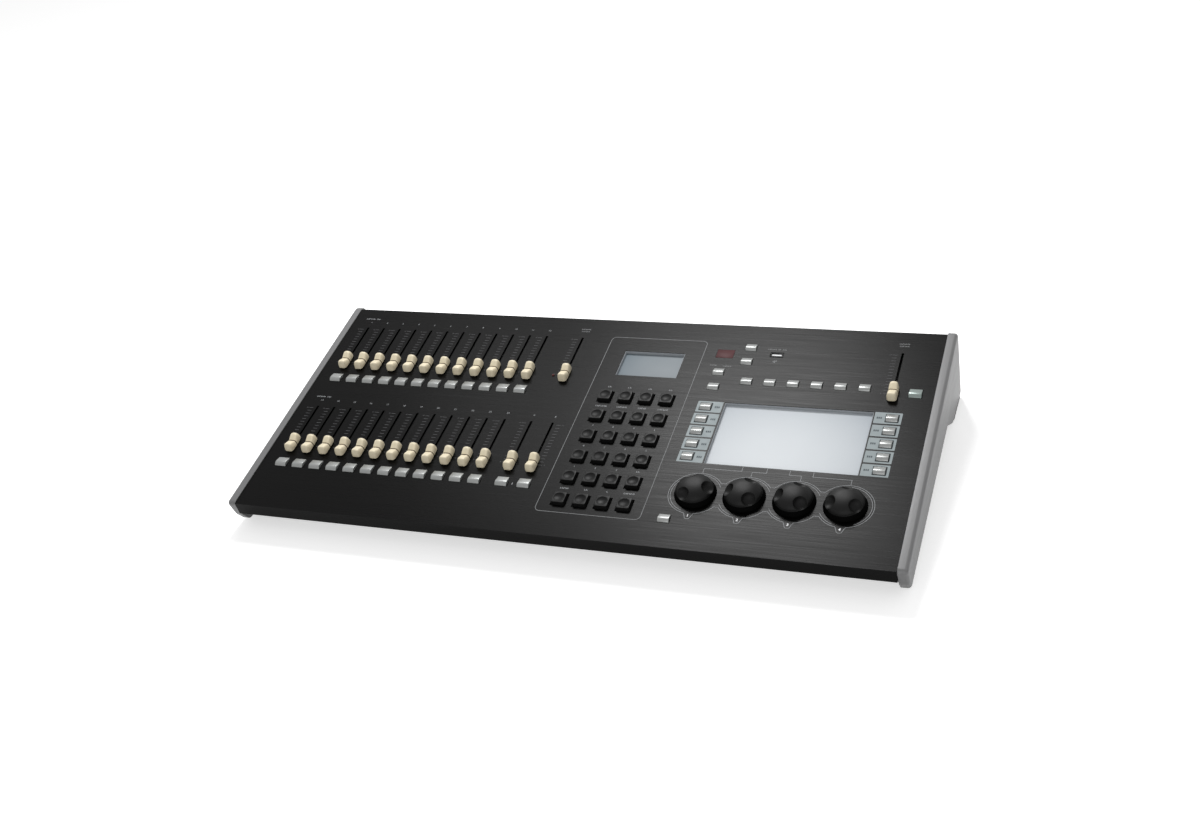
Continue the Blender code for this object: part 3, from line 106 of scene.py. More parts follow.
# Buttons and keys
FLANGE_TOP = -2.3 * MM
FLANGE_BOTTOM = -3.5 * MM
FLANGE_MARGIN = 1.0 * MM
WEB_WIDTH = 5.0 * MM
BUTTON_GAP = 0.4 * MM
BUMP_SIZE = (13.0 * MM, 12.0 * MM)
SMALL_SIZE = (11.8 * MM, 9.8 * MM)
BUMP_DROP = 27.6 * MM
BUTTON_FRONT_RISE = 0.3 * MM
BUTTON_RIDGE_RISE = 3.0 * MM
BUTTON_REAR_RISE = 1.0 * MM
KEY_SIZE = (16.0 * MM, 16.4 * MM)
KEY_TAPER = 1.1 * MM
KEY_RISE = 4.0 * MM
DISH_RADIUS = 5.9 * MM
DISH_DEPTH = 1.3 * MM
KEY_PITCH_X = 0.0328 * PANEL_WIDTH
KEY_PITCH_Y = 0.0931 * PANEL_DEPTH
KEYPAD_CENTRE_X = 0.5612 * PANEL_WIDTH
KEYPAD_FRONT_Y = 0.1486 * PANEL_DEPTH

# Displays
SCREEN_CENTRE = (0.8110 * PANEL_WIDTH, 0.4858 * PANEL_DEPTH)
SCREEN_SIZE = (155.8 * MM, 90.4 * MM)
TEXT_CENTRE = (KEYPAD_CENTRE_X, 0.7829 * PANEL_DEPTH)
TEXT_SIZE = (69.8 * MM, 40.3 * MM)
GLASS_DROP = 3.8 * MM
SIDE_X = SCREEN_CENTRE[0] - SCREEN_SIZE[0] / 2 - 19.2 * MM
RIGHT_SIDE_X = SCREEN_CENTRE[0] + SCREEN_SIZE[0] / 2 + 19.2 * MM
LEVEL_CENTRE = (SIDE_X, 0.8535 * PANEL_DEPTH)
LEVEL_SIZE = (19.6 * MM, 13.6 * MM)
LAMP_PLACE = (0.4110 * PANEL_WIDTH, 0.7009 * PANEL_DEPTH)
PORT_CENTRE = (0.7539 * PANEL_WIDTH, 0.8604 * PANEL_DEPTH)
SOFTKEY_PITCH = 18.5 * MM
SOFTKEY_COUNT = 5

# Encoders
KNOB_PITCH = 0.0700 * PANEL_WIDTH
KNOB_MIDDLE_X = 0.8099 * PANEL_WIDTH
KNOB_Y = 0.2233 * PANEL_DEPTH
KNOB_BASE_RADIUS = (KNOB_PITCH - 6.6 * MM) / 2
KNOB_SHOULDER_RADIUS = KNOB_BASE_RADIUS - 2.8 * MM
KNOB_SHOULDER_RISE = 7.0 * MM
KNOB_RISE = 15.5 * MM
KNOB_LIFT = 0.6 * MM
KNOB_TURNS = (-4, -54, -50, -35)
SCOOP_RADIUS = 8.2 * MM
SCOOP_ORBIT = KNOB_SHOULDER_RADIUS - 1.6 * MM
SCOOP_RISE = 14.0 * MM
SHAFT_RADIUS = 3.0 * MM
SHAFT_LOW = -10.9 * MM
BUSHING_TOP = 4.6 * MM
RECESS_RADIUS = 7.5 * MM

# Rear fittings
FITTING_Z = -29.0 * MM
FITTING_FACE = REAR_PANEL_Y + REAR_PANEL_SHEET + FIT_GAP
FITTING_OUTER = FITTING_FACE + 2.0 * MM
DATA_OUTPUT_X = (0.594 * PANEL_WIDTH, 0.6577 * PANEL_WIDTH)
ROUND_SOCKET_X = (0.4243 * PANEL_WIDTH, 0.4738 * PANEL_WIDTH)
VIDEO_X = 0.3395 * PANEL_WIDTH
HOST_PORT_X = 0.2617 * PANEL_WIDTH
INLET_X = 0.8628 * PANEL_WIDTH
ROCKER_X = 0.9335 * PANEL_WIDTH
ROCKER_SIZE = (12.0 * MM, 19.0 * MM)
ROCKER_TIP = math.radians(8.0)

# Printed marks
PRINT_TOP = 0.03 * MM
PRINT_FOOT = -0.02 * MM
TICK_COUNT = 14
TICK_LENGTH = 5.0 * MM
TICK_WIDTH = 0.5 * MM
TICK_OFFSET = 5.3 * MM
SCALE_NUMBER_OFFSET = 12.6 * MM
SCALE_NUMBER_SIZE = 2.4 * MM
NUMBER_SIZE = 3.4 * MM
KEY_MARK_RISE = 16.1 * MM
KEY_WORD_HEIGHT = 2.1 * MM
KEYPAD_FRAME = (395.9 * MM, 166.75 * MM, 112.2 * MM, 269.5 * MM)
KEYPAD_FRAME_CORNER = 5.5 * MM
KEYPAD_LINE = 0.6 * MM
RING_RADIUS = 27.46 * MM
INNER_RING_RADIUS = 25.3 * MM
RING_LINE = 0.45 * MM
RING_BRIDGE = 35.4
RING_TAB = 10.5
LEADER_X = (537 * MM, 562 * MM, 585 * MM, 608.5 * MM)
LEADER_TURN_Y = 108.5 * MM
LEADER_END_Y = 114.6 * MM
KNOB_DIGIT_DROP = 30.0 * MM
KNOB_DIGIT_SIZE = 4.2 * MM
PATCH_HEIGHT = 16.3 * MM
PATCH_CORNER = 0.6 * MM
PATCH_MARK_WIDTH = 1.4 * MM
PATCH_MARK_GAP = 0.5 * MM
KEY_FRAME_SIZE = (14.0 * MM, 12.4 * MM)

# Columns of soft key patches: x of the keys, left and right end, middle of the marks
PATCH_COLUMNS = (
    (SIDE_X, 466.5 * MM, 494.0 * MM, 488.8 * MM),
    (RIGHT_SIDE_X, 652.5 * MM, 680.0 * MM, 657.6 * MM),
)

SLOPE_SIN = math.sin(PANEL_TILT)
SLOPE_COS = math.cos(PANEL_TILT)


# Materials

def feed(tree, socket, source):
    """Link a socket to another one, or give it a plain value."""
    if isinstance(source, bpy.types.NodeSocket):
        tree.links.new(source, socket)
    else:
        socket.default_value = source


def node(tree, kind, *sources, operation=None, **named):
    """Add a shader node; its inputs, in order or by name, take sockets or plain values."""
    made = tree.nodes.new(kind)
    if operation:
        made.operation = operation
    for socket, source in zip(made.inputs, sources):
        feed(tree, socket, source)
    for name, source in named.items():
        feed(tree, made.inputs[name.replace("_", " ")], source)
    return made


def own_place(tree):
    return tree.nodes.new("ShaderNodeTexCoord").outputs["Object"]


def noise_through(tree, source, stretch, scale, detail=3.0):
    """Noise over the piece's own coordinates, stretched by an axis scale."""
    mapping = node(tree, "ShaderNodeMapping", Vector=source, Scale=stretch)
    noise = node(tree, "ShaderNodeTexNoise", Vector=mapping.outputs["Vector"], Scale=scale, Detail=detail,
                 Roughness=0.55)
    return noise.outputs["Fac"]


def spread(tree, source, low, high):
    """Map a noise output onto a range."""
    ranged = node(tree, "ShaderNodeMapRange", Value=source, From_Min=0.25, From_Max=0.75, To_Min=low,
                  To_Max=high)
    return ranged.outputs["Result"]


def blend_colours(tree, factor, first, second):
    mix = tree.nodes.new("ShaderNodeMix")
    mix.data_type = "RGBA"
    for name, source in (("Factor", factor), ("A", first), ("B", second)):
        feed(tree, mix.inputs[name], source)
    return mix.outputs["Result"]


def finish(name, colour, roughness, metallic=0.0, specular=0.5, vary=0.08, scale=60.0, stretch=(1, 1, 1),
           rough_vary=0.06, grain=900.0, grain_height=0.00002):
    """A procedural surface: uneven colour and gloss at one scale, fine grain at another."""
    made = bpy.data.materials.new(name)
    made.use_nodes = True
    made.diffuse_color = (*colour, 1.0)
    tree = made.node_tree
    place = own_place(tree)
    patches = noise_through(tree, place, stretch, scale)
    fine = noise_through(tree, place, stretch, grain, 2.0)
    dark, pale = [(*(min(1.0, c * share) for c in colour), 1.0) for share in (1 - vary, 1 + vary)]
    bump = node(tree, "ShaderNodeBump", Strength=0.6, Distance=grain_height, Height=fine)
    inputs = {
        "Metallic": metallic,
        "Specular IOR Level": specular,
        "Base Color": blend_colours(tree, spread(tree, patches, 0.0, 1.0), dark, pale),
        "Roughness": spread(tree, patches, roughness + rough_vary, roughness - rough_vary),
        "Normal": bump.outputs["Normal"],
    }
    for key, source in inputs.items():
        feed(tree, tree.nodes["Principled BSDF"].inputs[key], source)
    return made


def board_finish(name, lacquer, parts, drop):
    """Green lacquer on a board, and dark plastic on what stands above it."""
    made = finish(name, lacquer, 0.42, vary=0.12, scale=120.0)
    tree = made.node_tree
    base = tree.nodes["Principled BSDF"].inputs["Base Color"]
    up = PANEL.to_3x3() @ Vector((0, 0, 1))
    height = node(tree, "ShaderNodeVectorMath", own_place(tree), up, operation="DOT_PRODUCT")
    level = (PANEL @ Vector((0, 0, drop))).dot(up)
    above = node(tree, "ShaderNodeMath", height.outputs["Value"], level, operation="GREATER_THAN")
    feed(tree, base, blend_colours(tree, above.outputs["Value"], base.links[0].from_socket, (*parts, 1.0)))
    return made


def glass_with_painted_sheen(name, centre, edge, middle, reach, roughness):
    """A display face with a painted sheen: its colour darkens with the square of the way from a point in the
    panel's frame, standing in for a soft reflection.
    """
    made = finish(name, centre, roughness, specular=0.05, vary=0.01, grain_height=0.000002)
    tree = made.node_tree
    offset = node(tree, "ShaderNodeVectorMath", own_place(tree), PANEL @ Vector(middle), operation="SUBTRACT")
    away = offset.outputs["Vector"]
    square = node(tree, "ShaderNodeVectorMath", away, away, operation="DOT_PRODUCT")
    share = node(tree, "ShaderNodeMapRange", Value=square.outputs["Value"], From_Min=0.0, From_Max=reach ** 2)
    feed(tree, tree.nodes["Principled BSDF"].inputs["Base Color"],
         blend_colours(tree, share.outputs["Result"], (*centre, 1.0), (*edge, 1.0)))
    return made


ALONG_X = (1.0, 60.0, 60.0)

PANEL_BLACK = finish("brushed_black", (0.0010, 0.00095, 0.00095), 0.30, specular=0.056, vary=0.4, scale=12.0,
                     stretch=ALONG_X, rough_vary=0.06, grain=26.0, grain_height=0.00003)
CASE_BLACK = finish("powder_black", (0.004, 0.004, 0.0042), 0.5, specular=0.06, scale=40.0, grain=2200.0)
CHEEK_GREY = finish("satin_grey", (0.170, 0.170, 0.172), 0.42, metallic=0.25, specular=0.25, vary=0.04,
                    scale=14.0, stretch=(60.0, 1.0, 60.0), grain=26.0)
CAP_CREAM = finish("cap_cream", (0.78, 0.695, 0.51), 0.42, specular=0.35, vary=0.035, scale=70.0,
                   grain=1500.0)
# Painted shade: the sunk groove across a fader cap is coloured dark brown for the shade in it.
CAP_GROOVE_SHADE = finish("cap_groove_shade", (0.10, 0.07, 0.045), 0.7, specular=0.2, vary=0.2)
LEVER_STEEL = finish("lever_steel", (0.10, 0.10, 0.105), 0.4, metallic=0.8, stretch=(60.0, 1.0, 60.0))
BUTTON_SILVER = finish("button_silver", (0.285, 0.293, 0.288), 0.33, metallic=0.5, vary=0.05, scale=90.0,
                       stretch=(1.0, 6.0, 6.0))
BUTTON_GREEN = finish("button_green", (0.205, 0.243, 0.230), 0.33, metallic=0.5, vary=0.05, scale=90.0,
                      stretch=(1.0, 6.0, 6.0))
WEB_DARK = finish("carrier_dark", (0.004, 0.004, 0.004), 0.6, specular=0.1, vary=0.2)
KEY_BLACK = finish("key_black", (0.004, 0.004, 0.004), 0.42, specular=0.10, vary=0.2, scale=80.0,
                   grain=2600.0)
KNOB_BLACK = finish("knob_black", (0.003, 0.003, 0.003), 0.50, specular=0.16, vary=0.2, scale=60.0,
                    grain=2600.0)
SKIRT_BLACK = finish("skirt_black", (0.001, 0.001, 0.001), 0.50, specular=0.02, vary=0.2, scale=60.0)
PRINT_PALE = finish("print_pale", (0.31, 0.32, 0.33), 0.6, specular=0.2, vary=0.06, scale=300.0)
PRINT_WHITE = finish("print_white", (0.80, 0.81, 0.82), 0.5, specular=0.2, vary=0.03, scale=300.0)
PRINT_LINE = finish("print_line", (0.20, 0.205, 0.21), 0.6, specular=0.2, vary=0.10, scale=300.0)
PRINT_DIM = finish("print_dim", (0.10, 0.10, 0.105), 0.6, specular=0.1, vary=0.15, scale=400.0)
PRINT_DARK = finish("print_dark", (0.085, 0.10, 0.11), 0.6, specular=0.1, vary=0.1, scale=400.0)
PATCH_BLUE = finish("patch_blue", (0.27, 0.31, 0.32), 0.5, specular=0.15, vary=0.03, scale=120.0)
RIM_DARK = finish("rim_dark", (0.045, 0.055, 0.06), 0.5, specular=0.1, vary=0.1)
LENS_RED = finish("lens_red", (0.085, 0.036, 0.038), 0.4, specular=0.03, vary=0.1)
LAMP_RED = finish("lamp_red", (0.10, 0.03, 0.03), 0.3, specular=0.1, vary=0.05)
BRIGHT_METAL = finish("bright_metal", (0.62, 0.62, 0.60), 0.28, metallic=1.0, vary=0.05, scale=200.0)
SCREW_METAL = finish("screw_black", (0.05, 0.05, 0.052), 0.35, metallic=0.7, vary=0.1, scale=300.0)
SOCKET_BLACK = finish("socket_black", (0.010, 0.010, 0.0105), 0.45, specular=0.2, vary=0.15, scale=120.0)
# Painted shade: near black for the shade inside holes, on discs that stand for pin holes, on screw crosses
# and round the port's mouth.
HOLE_SHADE = finish("hole_shade", (0.003, 0.003, 0.003), 0.8, specular=0.05, vary=0.2)
RUBBER = finish("rubber", (0.012, 0.012, 0.012), 0.85, specular=0.1, vary=0.15, scale=150.0, grain=3000.0)
BOARD_GREEN = board_finish("board_green", (0.012, 0.09, 0.035), (0.012, 0.012, 0.013), -12.5 * MM)
MAIN_GREEN = board_finish("main_green", (0.012, 0.09, 0.035), (0.015, 0.015, 0.016), -33.5 * MM)
BEZEL_GREY = finish("bezel_grey", (0.36, 0.37, 0.38), 0.5, vary=0.03)
LINER_GREY = finish("liner_grey", (0.34, 0.36, 0.38), 0.6, specular=0.1, vary=0.03)

# Finishes of every rear fitting, by index
FITTING_FINISHES = (SOCKET_BLACK, BEZEL_GREY, HOLE_SHADE, BRIGHT_METAL)
PLASTIC, TONGUE, HOLE_SHADE_INDEX, METAL = range(4)

# Painted sheen: each display face is lightest at a given point off its middle and darker away from it, in
# place of a soft reflection.
SCREEN_WHITE = glass_with_painted_sheen("screen_white_painted_sheen", (0.70, 0.73, 0.755), (0.42, 0.455, 0.49),
                            (560 * MM, 120 * MM, -GLASS_DROP), 0.120, 0.55)
TEXT_BLUE = glass_with_painted_sheen("text_blue_painted_sheen", (0.262, 0.287, 0.305), (0.150, 0.185, 0.212),
                         (425 * MM, 245 * MM, -GLASS_DROP), 0.075, 0.5)


# Mesh helpers

def object_from(bm, name, body, materials, matrix=PANEL, sharp=35.0):
    """Turn a bmesh in the panel's frame into a piece that rides on a body."""
    mesh = smooth_mesh(bm, name, materials, sharp)
    mesh.transform(matrix)
    return place_mesh(mesh, name, body, Matrix.Identity(4))


def smooth_mesh(bm, name, materials, sharp):
    """Turn a bmesh into a mesh that is smooth but for its sharp edges."""
    bmesh.ops.recalc_face_normals(bm, faces=bm.faces[:])
    mesh = bpy.data.meshes.new(name)
    bm.to_mesh(mesh)
    bm.free()
    for made in materials:
        mesh.materials.append(made)
    mesh.shade_smooth()
    mesh.set_sharp_from_angle(angle=math.radians(sharp))
    return mesh


def linked(name, data):
    """A new object in the scene."""
    item = bpy.data.objects.new(name, data)
    bpy.context.scene.collection.objects.link(item)
    return item


def place_mesh(mesh, name, body, matrix):
    item = linked(name, mesh)
    item.matrix_world = matrix
    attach(item, body)
    return item


def loft(bm, rings, material=0, closed=False):
    """Join equal rings of points into one closed skin, with flat ends unless it closes on itself."""
    layers = [[bm.verts.new(point) for point in ring] for ring in rings]
    count = len(layers[0])
    pairs = list(zip(layers, layers[1:]))
    if closed:
        pairs.append((layers[-1], layers[0]))
    faces = []
    for lower, upper in pairs:
        for index in range(count):
            following = (index + 1) % count
            faces.append(bm.faces.new((lower[index], lower[following], upper[following], upper[index])))
    if not closed:
        faces.append(bm.faces.new(list(reversed(layers[0]))))
        faces.append(bm.faces.new(layers[-1]))
    for face in faces:
        face.material_index = material
    return faces


def rounded_rectangle(x, y, width, depth, radius, segments=5):
    """Corners of a rounded rectangle as (x, y), anticlockwise from its right side."""
    points = []
    for corner, (side_x, side_y) in enumerate(((1, 1), (-1, 1), (-1, -1), (1, -1))):
        centre_x = x + side_x * (width / 2 - radius)
        centre_y = y + side_y * (depth / 2 - radius)
        for step in range(segments + 1):
            angle = math.pi / 2 * (corner + step / segments)
            points.append((centre_x + radius * math.cos(angle), centre_y + radius * math.sin(angle)))
    return points


def prism(bm, outline, low, high, material=0):
    loft(bm, [[(x, y, z) for x, y in outline] for z in (low, high)], material)


def frame_prism(bm, outer, inner, low, high, material=0):
    """A flat frame between two outlines with the same number of points."""
    rings = [
        [(x, y, low) for x, y in outer],
        [(x, y, high) for x, y in outer],
        [(x, y, high) for x, y in inner],
        [(x, y, low) for x, y in inner],
    ]
    loft(bm, rings, material, closed=True)


def rounded_frame(bm, centre, outer, inner, low, high, material=0, segments=3):
    """A flat frame between two rounded rectangles, each given by its width, depth and corner radius."""
    outlines = [rounded_rectangle(*centre, *shape, segments) for shape in (outer, inner)]
    frame_prism(bm, *outlines, low, high, material)


def edge_steps(radius, angles):
    """Inset and drop at angles along a rounded edge, in degrees."""
    turns = [math.radians(angle) for angle in angles]
    return [(radius * (1 - math.sin(turn)), radius * (1 - math.cos(turn))) for turn in turns]


def soft_box(bm, centre, size, low, high, radius, material=0):
    """A box with rounded edges, from its middle and size across, its bottom and its top."""
    steps = edge_steps(radius, (0, 45, 90))
    ends = [(low + drop, inset) for inset, drop in steps]
    ends += [(high - drop, inset) for inset, drop in reversed(steps)]
    rings = []
    for z, inset in ends:
        corner = max(radius - inset, 0.02 * MM)
        outline = rounded_rectangle(*centre, size[0] - 2 * inset, size[1] - 2 * inset, corner, 3)
        rings.append([(x, y, z) for x, y in outline])
    loft(bm, rings, material)


def mm(*rows):
    """Rows of values given in millimetres."""
    return [tuple(value * MM for value in row) for row in rows]


def circle(radius, segments, x=0.0, y=0.0):
    turns = [2 * math.pi * step / segments for step in range(segments)]
    return [(x + radius * math.cos(turn), y + radius * math.sin(turn)) for turn in turns]


def turned(bm, profile, segments, matrix=Matrix.Identity(4), material=0):
    """Turn (radius, z) points about z; the first and last rings are closed flat."""
    rings = [[matrix @ Vector((x, y, z)) for x, y in circle(radius, segments)] for radius, z in profile]
    loft(bm, rings, material)


def soften(points, passes=2, closed=False):
    """Cut corners so that a line of points turns gently, with its ends kept."""
    for _ in range(passes):
        pairs = list(zip(points, points[1:]))
        if closed:
            pairs.append((points[-1], points[0]))
        cut = [] if closed else [points[0]]
        for start, end in pairs:
            cut.append(tuple(0.75 * a + 0.25 * b for a, b in zip(start, end)))
            cut.append(tuple(0.25 * a + 0.75 * b for a, b in zip(start, end)))
        points = cut if closed else cut + [points[-1]]
    return points


def stroke(bm, path, width, material=0, closed=False, low=PRINT_FOOT, high=PRINT_TOP):
    """A printed line along (x, y) points."""
    points = [Vector(point) for point in path]
    count = len(points)
    left, right = [], []
    for index, here in enumerate(points):
        before = points[index - 1] if index or closed else None
        after = points[(index + 1) % count] if index < count - 1 or closed else None
        first = (here - before).normalized() if before is not None else (after - here).normalized()
        last = (after - here).normalized() if after is not None else first
        normal_first = Vector((-first.y, first.x))
        normal_last = Vector((-last.y, last.x))
        middle = (normal_first + normal_last).normalized()
        reach = width / 2 / max(middle.dot(normal_first), 0.4)
        left.append(here + middle * reach)
        right.append(here - middle * reach)
    sections = [[(*a, low), (*b, low), (*b, high), (*a, high)] for a, b in zip(left, right)]
    loft(bm, sections, material, closed=closed)


def arc(x, y, radius, start, end, steps):
    """Points along an arc, angles in degrees."""
    points = []
    for step in range(steps + 1):
        angle = math.radians(start + (end - start) * step / steps)
        points.append((x + radius * math.cos(angle), y + radius * math.sin(angle)))
    return points


def add_text(bm, text, x, y, size, material=0, bold=0.0):
    """Plain characters in Blender's own font, as thin solids on the panel."""
    curve = bpy.data.curves.new("mark", "FONT")
    curve.body = text
    curve.size = size
    curve.offset = bold
    curve.align_x = "CENTER"
    curve.align_y = "CENTER"
    curve.extrude = (PRINT_TOP - PRINT_FOOT) / 2
    curve.resolution_u = 3
    item = linked("mark", curve)
    bpy.context.view_layer.update()
    mesh = bpy.data.meshes.new_from_object(item)
    mesh.transform(Matrix.Translation((x, y, (PRINT_TOP + PRINT_FOOT) / 2)))
    known = len(bm.faces)
    bm.from_mesh(mesh)
    bm.faces.ensure_lookup_table()
    for face in bm.faces[known:]:
        face.material_index = material
    bmesh.ops.remove_doubles(bm, verts=list({v for face in bm.faces[known:] for v in face.verts}), dist=1e-7)
    bpy.data.objects.remove(item, do_unlink=True)
    bpy.data.curves.remove(curve)
    bpy.data.meshes.remove(mesh)


def add_word(bm, x, y, letters, height=1.9 * MM, material=0):
    """A row of small open marks that stands where a word would be, centred on x; a blank parts words."""
    pitch = 0.92 * height
    stem = 0.24 * height
    for index, letter in enumerate(letters):
        if letter == " ":
            continue
        left = x + (index - len(letters) / 2) * pitch + 0.18 * pitch
        right = left + 0.58 * pitch
        stroke(bm, [(left, y - height / 2), (left, y + height / 2)], stem, material)
        level = y + height * (-0.38, 0.0, 0.38)[index % 3]
        stroke(bm, [(left, level), (right, level)], stem, material)
        if index % 2:
            stroke(bm, [(right, y - height / 2), (right, y + 0.1 * height)], stem, material)


# Places

def fader_rest_y(slot_top):
    return slot_top - SLOT_END_GAP - LEVER_LENGTH / 2 - FADER_TRAVEL


def fader_places():
    places = []
    for row, slot_top in enumerate((UPPER_SLOT_TOP, LOWER_SLOT_TOP)):
        for index in range(FADER_COUNT):
            name = "fader_%02d" % (index + 1 + row * FADER_COUNT)
            places.append((name, FADER_FIRST_X + index * FADER_PITCH, slot_top))
    places.append(("fader_master", MASTER_FADER_X, UPPER_SLOT_TOP))
    places.append(("fader_a", FADER_A_X, LOWER_SLOT_TOP))
    places.append(("fader_b", FADER_B_X, LOWER_SLOT_TOP))
    places.append(("fader_right", RIGHT_FADER_X, UPPER_SLOT_TOP))
    return places


def bump_row(slot_top):
    y = fader_rest_y(slot_top) - BUMP_DROP
    return [(FADER_FIRST_X + index * FADER_PITCH, y) for index in range(FADER_COUNT)]


def softkey_column(x):
    first = SCREEN_CENTRE[1] - (SOFTKEY_COUNT - 1) / 2 * SOFTKEY_PITCH
    return [(x, first + index * SOFTKEY_PITCH) for index in range(SOFTKEY_COUNT)]


def button_groups():
    """Node, button size, centres and finish of each group of buttons."""
    lower_y = fader_rest_y(LOWER_SLOT_TOP) - BUMP_DROP
    row = [((0.7216 + 0.0355 * i) * PANEL_WIDTH, 0.7257 * PANEL_DEPTH) for i in range(6)]
    step_x = 0.7112 * PANEL_WIDTH
    display = [
        (step_x, 0.8891 * PANEL_DEPTH),
        (step_x, 0.8202 * PANEL_DEPTH),
        (SIDE_X, 0.7625 * PANEL_DEPTH),
        (SIDE_X, 0.6924 * PANEL_DEPTH),
    ]
    right = (RIGHT_FADER_X + 22.4 * MM, fader_rest_y(UPPER_SLOT_TOP) + 2.0 * MM)
    left_side = [(SIDE_X, 0.1118 * PANEL_DEPTH)] + softkey_column(SIDE_X)
    return [
        ("upper_bump_buttons", BUMP_SIZE, bump_row(UPPER_SLOT_TOP), BUTTON_SILVER),
        ("lower_bump_buttons", BUMP_SIZE, bump_row(LOWER_SLOT_TOP), BUTTON_SILVER),
        ("master_buttons", BUMP_SIZE, [(FADER_A_X, lower_y), (FADER_B_X, lower_y)], BUTTON_SILVER),
        ("right_button", BUMP_SIZE, [right], BUTTON_GREEN),
        ("display_buttons", SMALL_SIZE, display, BUTTON_SILVER),
        ("row_buttons", SMALL_SIZE, row, BUTTON_SILVER),
        ("left_softkeys", SMALL_SIZE, left_side, BUTTON_SILVER),
        ("right_softkeys", SMALL_SIZE, softkey_column(RIGHT_SIDE_X), BUTTON_SILVER),
    ]


def key_places():
    return [(KEYPAD_CENTRE_X + (column - 1.5) * KEY_PITCH_X, KEYPAD_FRONT_Y + row * KEY_PITCH_Y)
            for row in range(6) for column in range(4)]


def knob_places():
    first = KNOB_MIDDLE_X - 1.5 * KNOB_PITCH
    return [(first + index * KNOB_PITCH, KNOB_Y) for index in range(4)]


def underside_z(y):
    return -FRONT_DEPTH - UNDERSIDE_SLOPE * y


def floor_z(y):
    """Height of the floor under the console, in the panel's frame."""
    return -(FRONT_HEIGHT + y * SLOPE_SIN) / SLOPE_COS


# Fader caps

def cap_section(y, height, top, base, arch):
    """Section across a cap, from base over crown to base; arch 0 is faceted and 1 is round."""
    rise = height - CAP_LIFT
    faceted = [(base, 0.0), (base, 0.42 * rise), (top, 0.96 * rise), (0.45 * top, rise), (0.0, 1.01 * rise)]
    line = soften(faceted, 3)
    points = []
    for index, (x, z) in enumerate(line):
        share = index / (len(line) - 1)
        angle = math.pi / 2 * share
        round_x = base * math.cos(angle) ** 0.55
        round_z = rise * math.sin(angle) ** 0.8
        points.append(((1 - arch) * x + arch * round_x, CAP_LIFT + (1 - arch) * z + arch * round_z))
    return [(x, y, z) for x, z in points] + [(-x, y, z) for x, z in reversed(points[:-1])]


def cap_stations():
    """Along the cap: y, height, half widths at top and base, and how round the section is."""
    half = CAP_LENGTH / 2
    top = CAP_TOP_WIDTH / 2
    base = CAP_WIDTH / 2
    high = CAP_HEIGHT
    front = [
        (-half, 0.16 * high, 0.60 * top, 0.52 * base, 0.0),
        (-half, 0.30 * high, 0.68 * top, 0.60 * base, 0.0),
        (-0.87 * half, 0.82 * high, 0.97 * top, 0.93 * base, 0.0),
        (-0.70 * half, 0.93 * high, top, base, 0.0),
        (-0.24 * half, 0.70 * high, top, base, 0.0),
        (-2.0 * GROOVE_HALF, 0.62 * high, top, base, 0.0),
    ]
    rear = [
        (2.0 * GROOVE_HALF, 0.64 * high, top, base, 0.1),
        (0.26 * half, 0.79 * high, 0.97 * top, 0.98 * base, 0.2),
        (0.58 * half, 1.01 * high, 0.92 * top, 0.97 * base, 0.35),
        (0.82 * half, 0.90 * high, 0.78 * top, 0.88 * base, 0.5),
        (half, 0.38 * high, 0.60 * top, 0.66 * base, 0.3),
        (half, 0.16 * high, 0.46 * top, 0.54 * base, 0.3),
    ]
    return soften(front, 2), soften(rear, 2)


def add_cap(bm):
    front, rear = cap_stations()
    for stations in (front, rear):
        loft(bm, [cap_section(*station) for station in stations], 0)
    y, height, top, base, arch = front[-1]
    # The sunk strip across the cap takes the groove's painted shade.
    sunk = 0.15 * MM
    loft(bm, [cap_section(end, height - sunk, top - sunk, base - sunk, arch)
              for end in (-3 * GROOVE_HALF, 3 * GROOVE_HALF)], 1)


def fader_mesh():
    bm = bmesh.new()
    add_cap(bm)
    soft_box(bm, (0, 0), (LEVER_THICKNESS, LEVER_LENGTH), CARRIAGE_LOW + 1 * MM, CAP_LIFT + 2.6 * MM,
             0.2 * MM, 2)
    soft_box(bm, (0, 0), (CARRIAGE_WIDTH, LEVER_LENGTH + 2 * MM), CARRIAGE_LOW,
             CARRIAGE_LOW + CARRIAGE_HEIGHT, 0.4 * MM, 3)
    return smooth_mesh(bm, "fader_cap", (CAP_CREAM, CAP_GROOVE_SHADE, LEVER_STEEL, WEB_DARK), 40.0)


def make_faders():
    mesh = fader_mesh()
    for name, x, slot_top in fader_places():
        matrix = PANEL @ Matrix.Translation((x, fader_rest_y(slot_top), 0.0))
        piece = place_mesh(mesh, name + "_cap", name, matrix)
        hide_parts(name)


# Button and key caps

def add_wedge(bm, x, y, size):
    """A button cap with a rounded ridge near its front edge and rounded ends."""
    half_x = size[0] / 2
    half_y = size[1] / 2
    low = FLANGE_BOTTOM + 0.4 * MM
    edge = 0.4 * MM
    side = rounded_outline([
        (-half_y, low, edge),
        (-half_y, BUTTON_FRONT_RISE, edge),
        (-half_y / 2, BUTTON_RIDGE_RISE + 0.3 * MM, 4.2 * MM),
        (half_y, BUTTON_REAR_RISE, edge),
        (half_y, low, edge),
    ], 7)
    steps = edge_steps(edge, (0, 30, 60, 90))
    ends = [(-half_x + reach, inset) for inset, reach in steps] + [
        (half_x - reach, inset) for inset, reach in reversed(steps)]
    rings = []
    for end_x, inset in ends:
        points = inset_outline(side, inset) if inset > 0.001 * MM else side
        rings.append([(x + end_x, y + point.x, point.y) for point in points])
    loft(bm, rings)


def web_runs(places):
    """Ends of the straight webs that follow a group's buttons and turn where they do."""
    path = places[:1]
    for x, y in places[1:]:
        if x != path[-1][0] and y != path[-1][1]:
            path.append((path[-1][0], y))
        path.append((x, y))
    return list(zip(path, path[1:]))


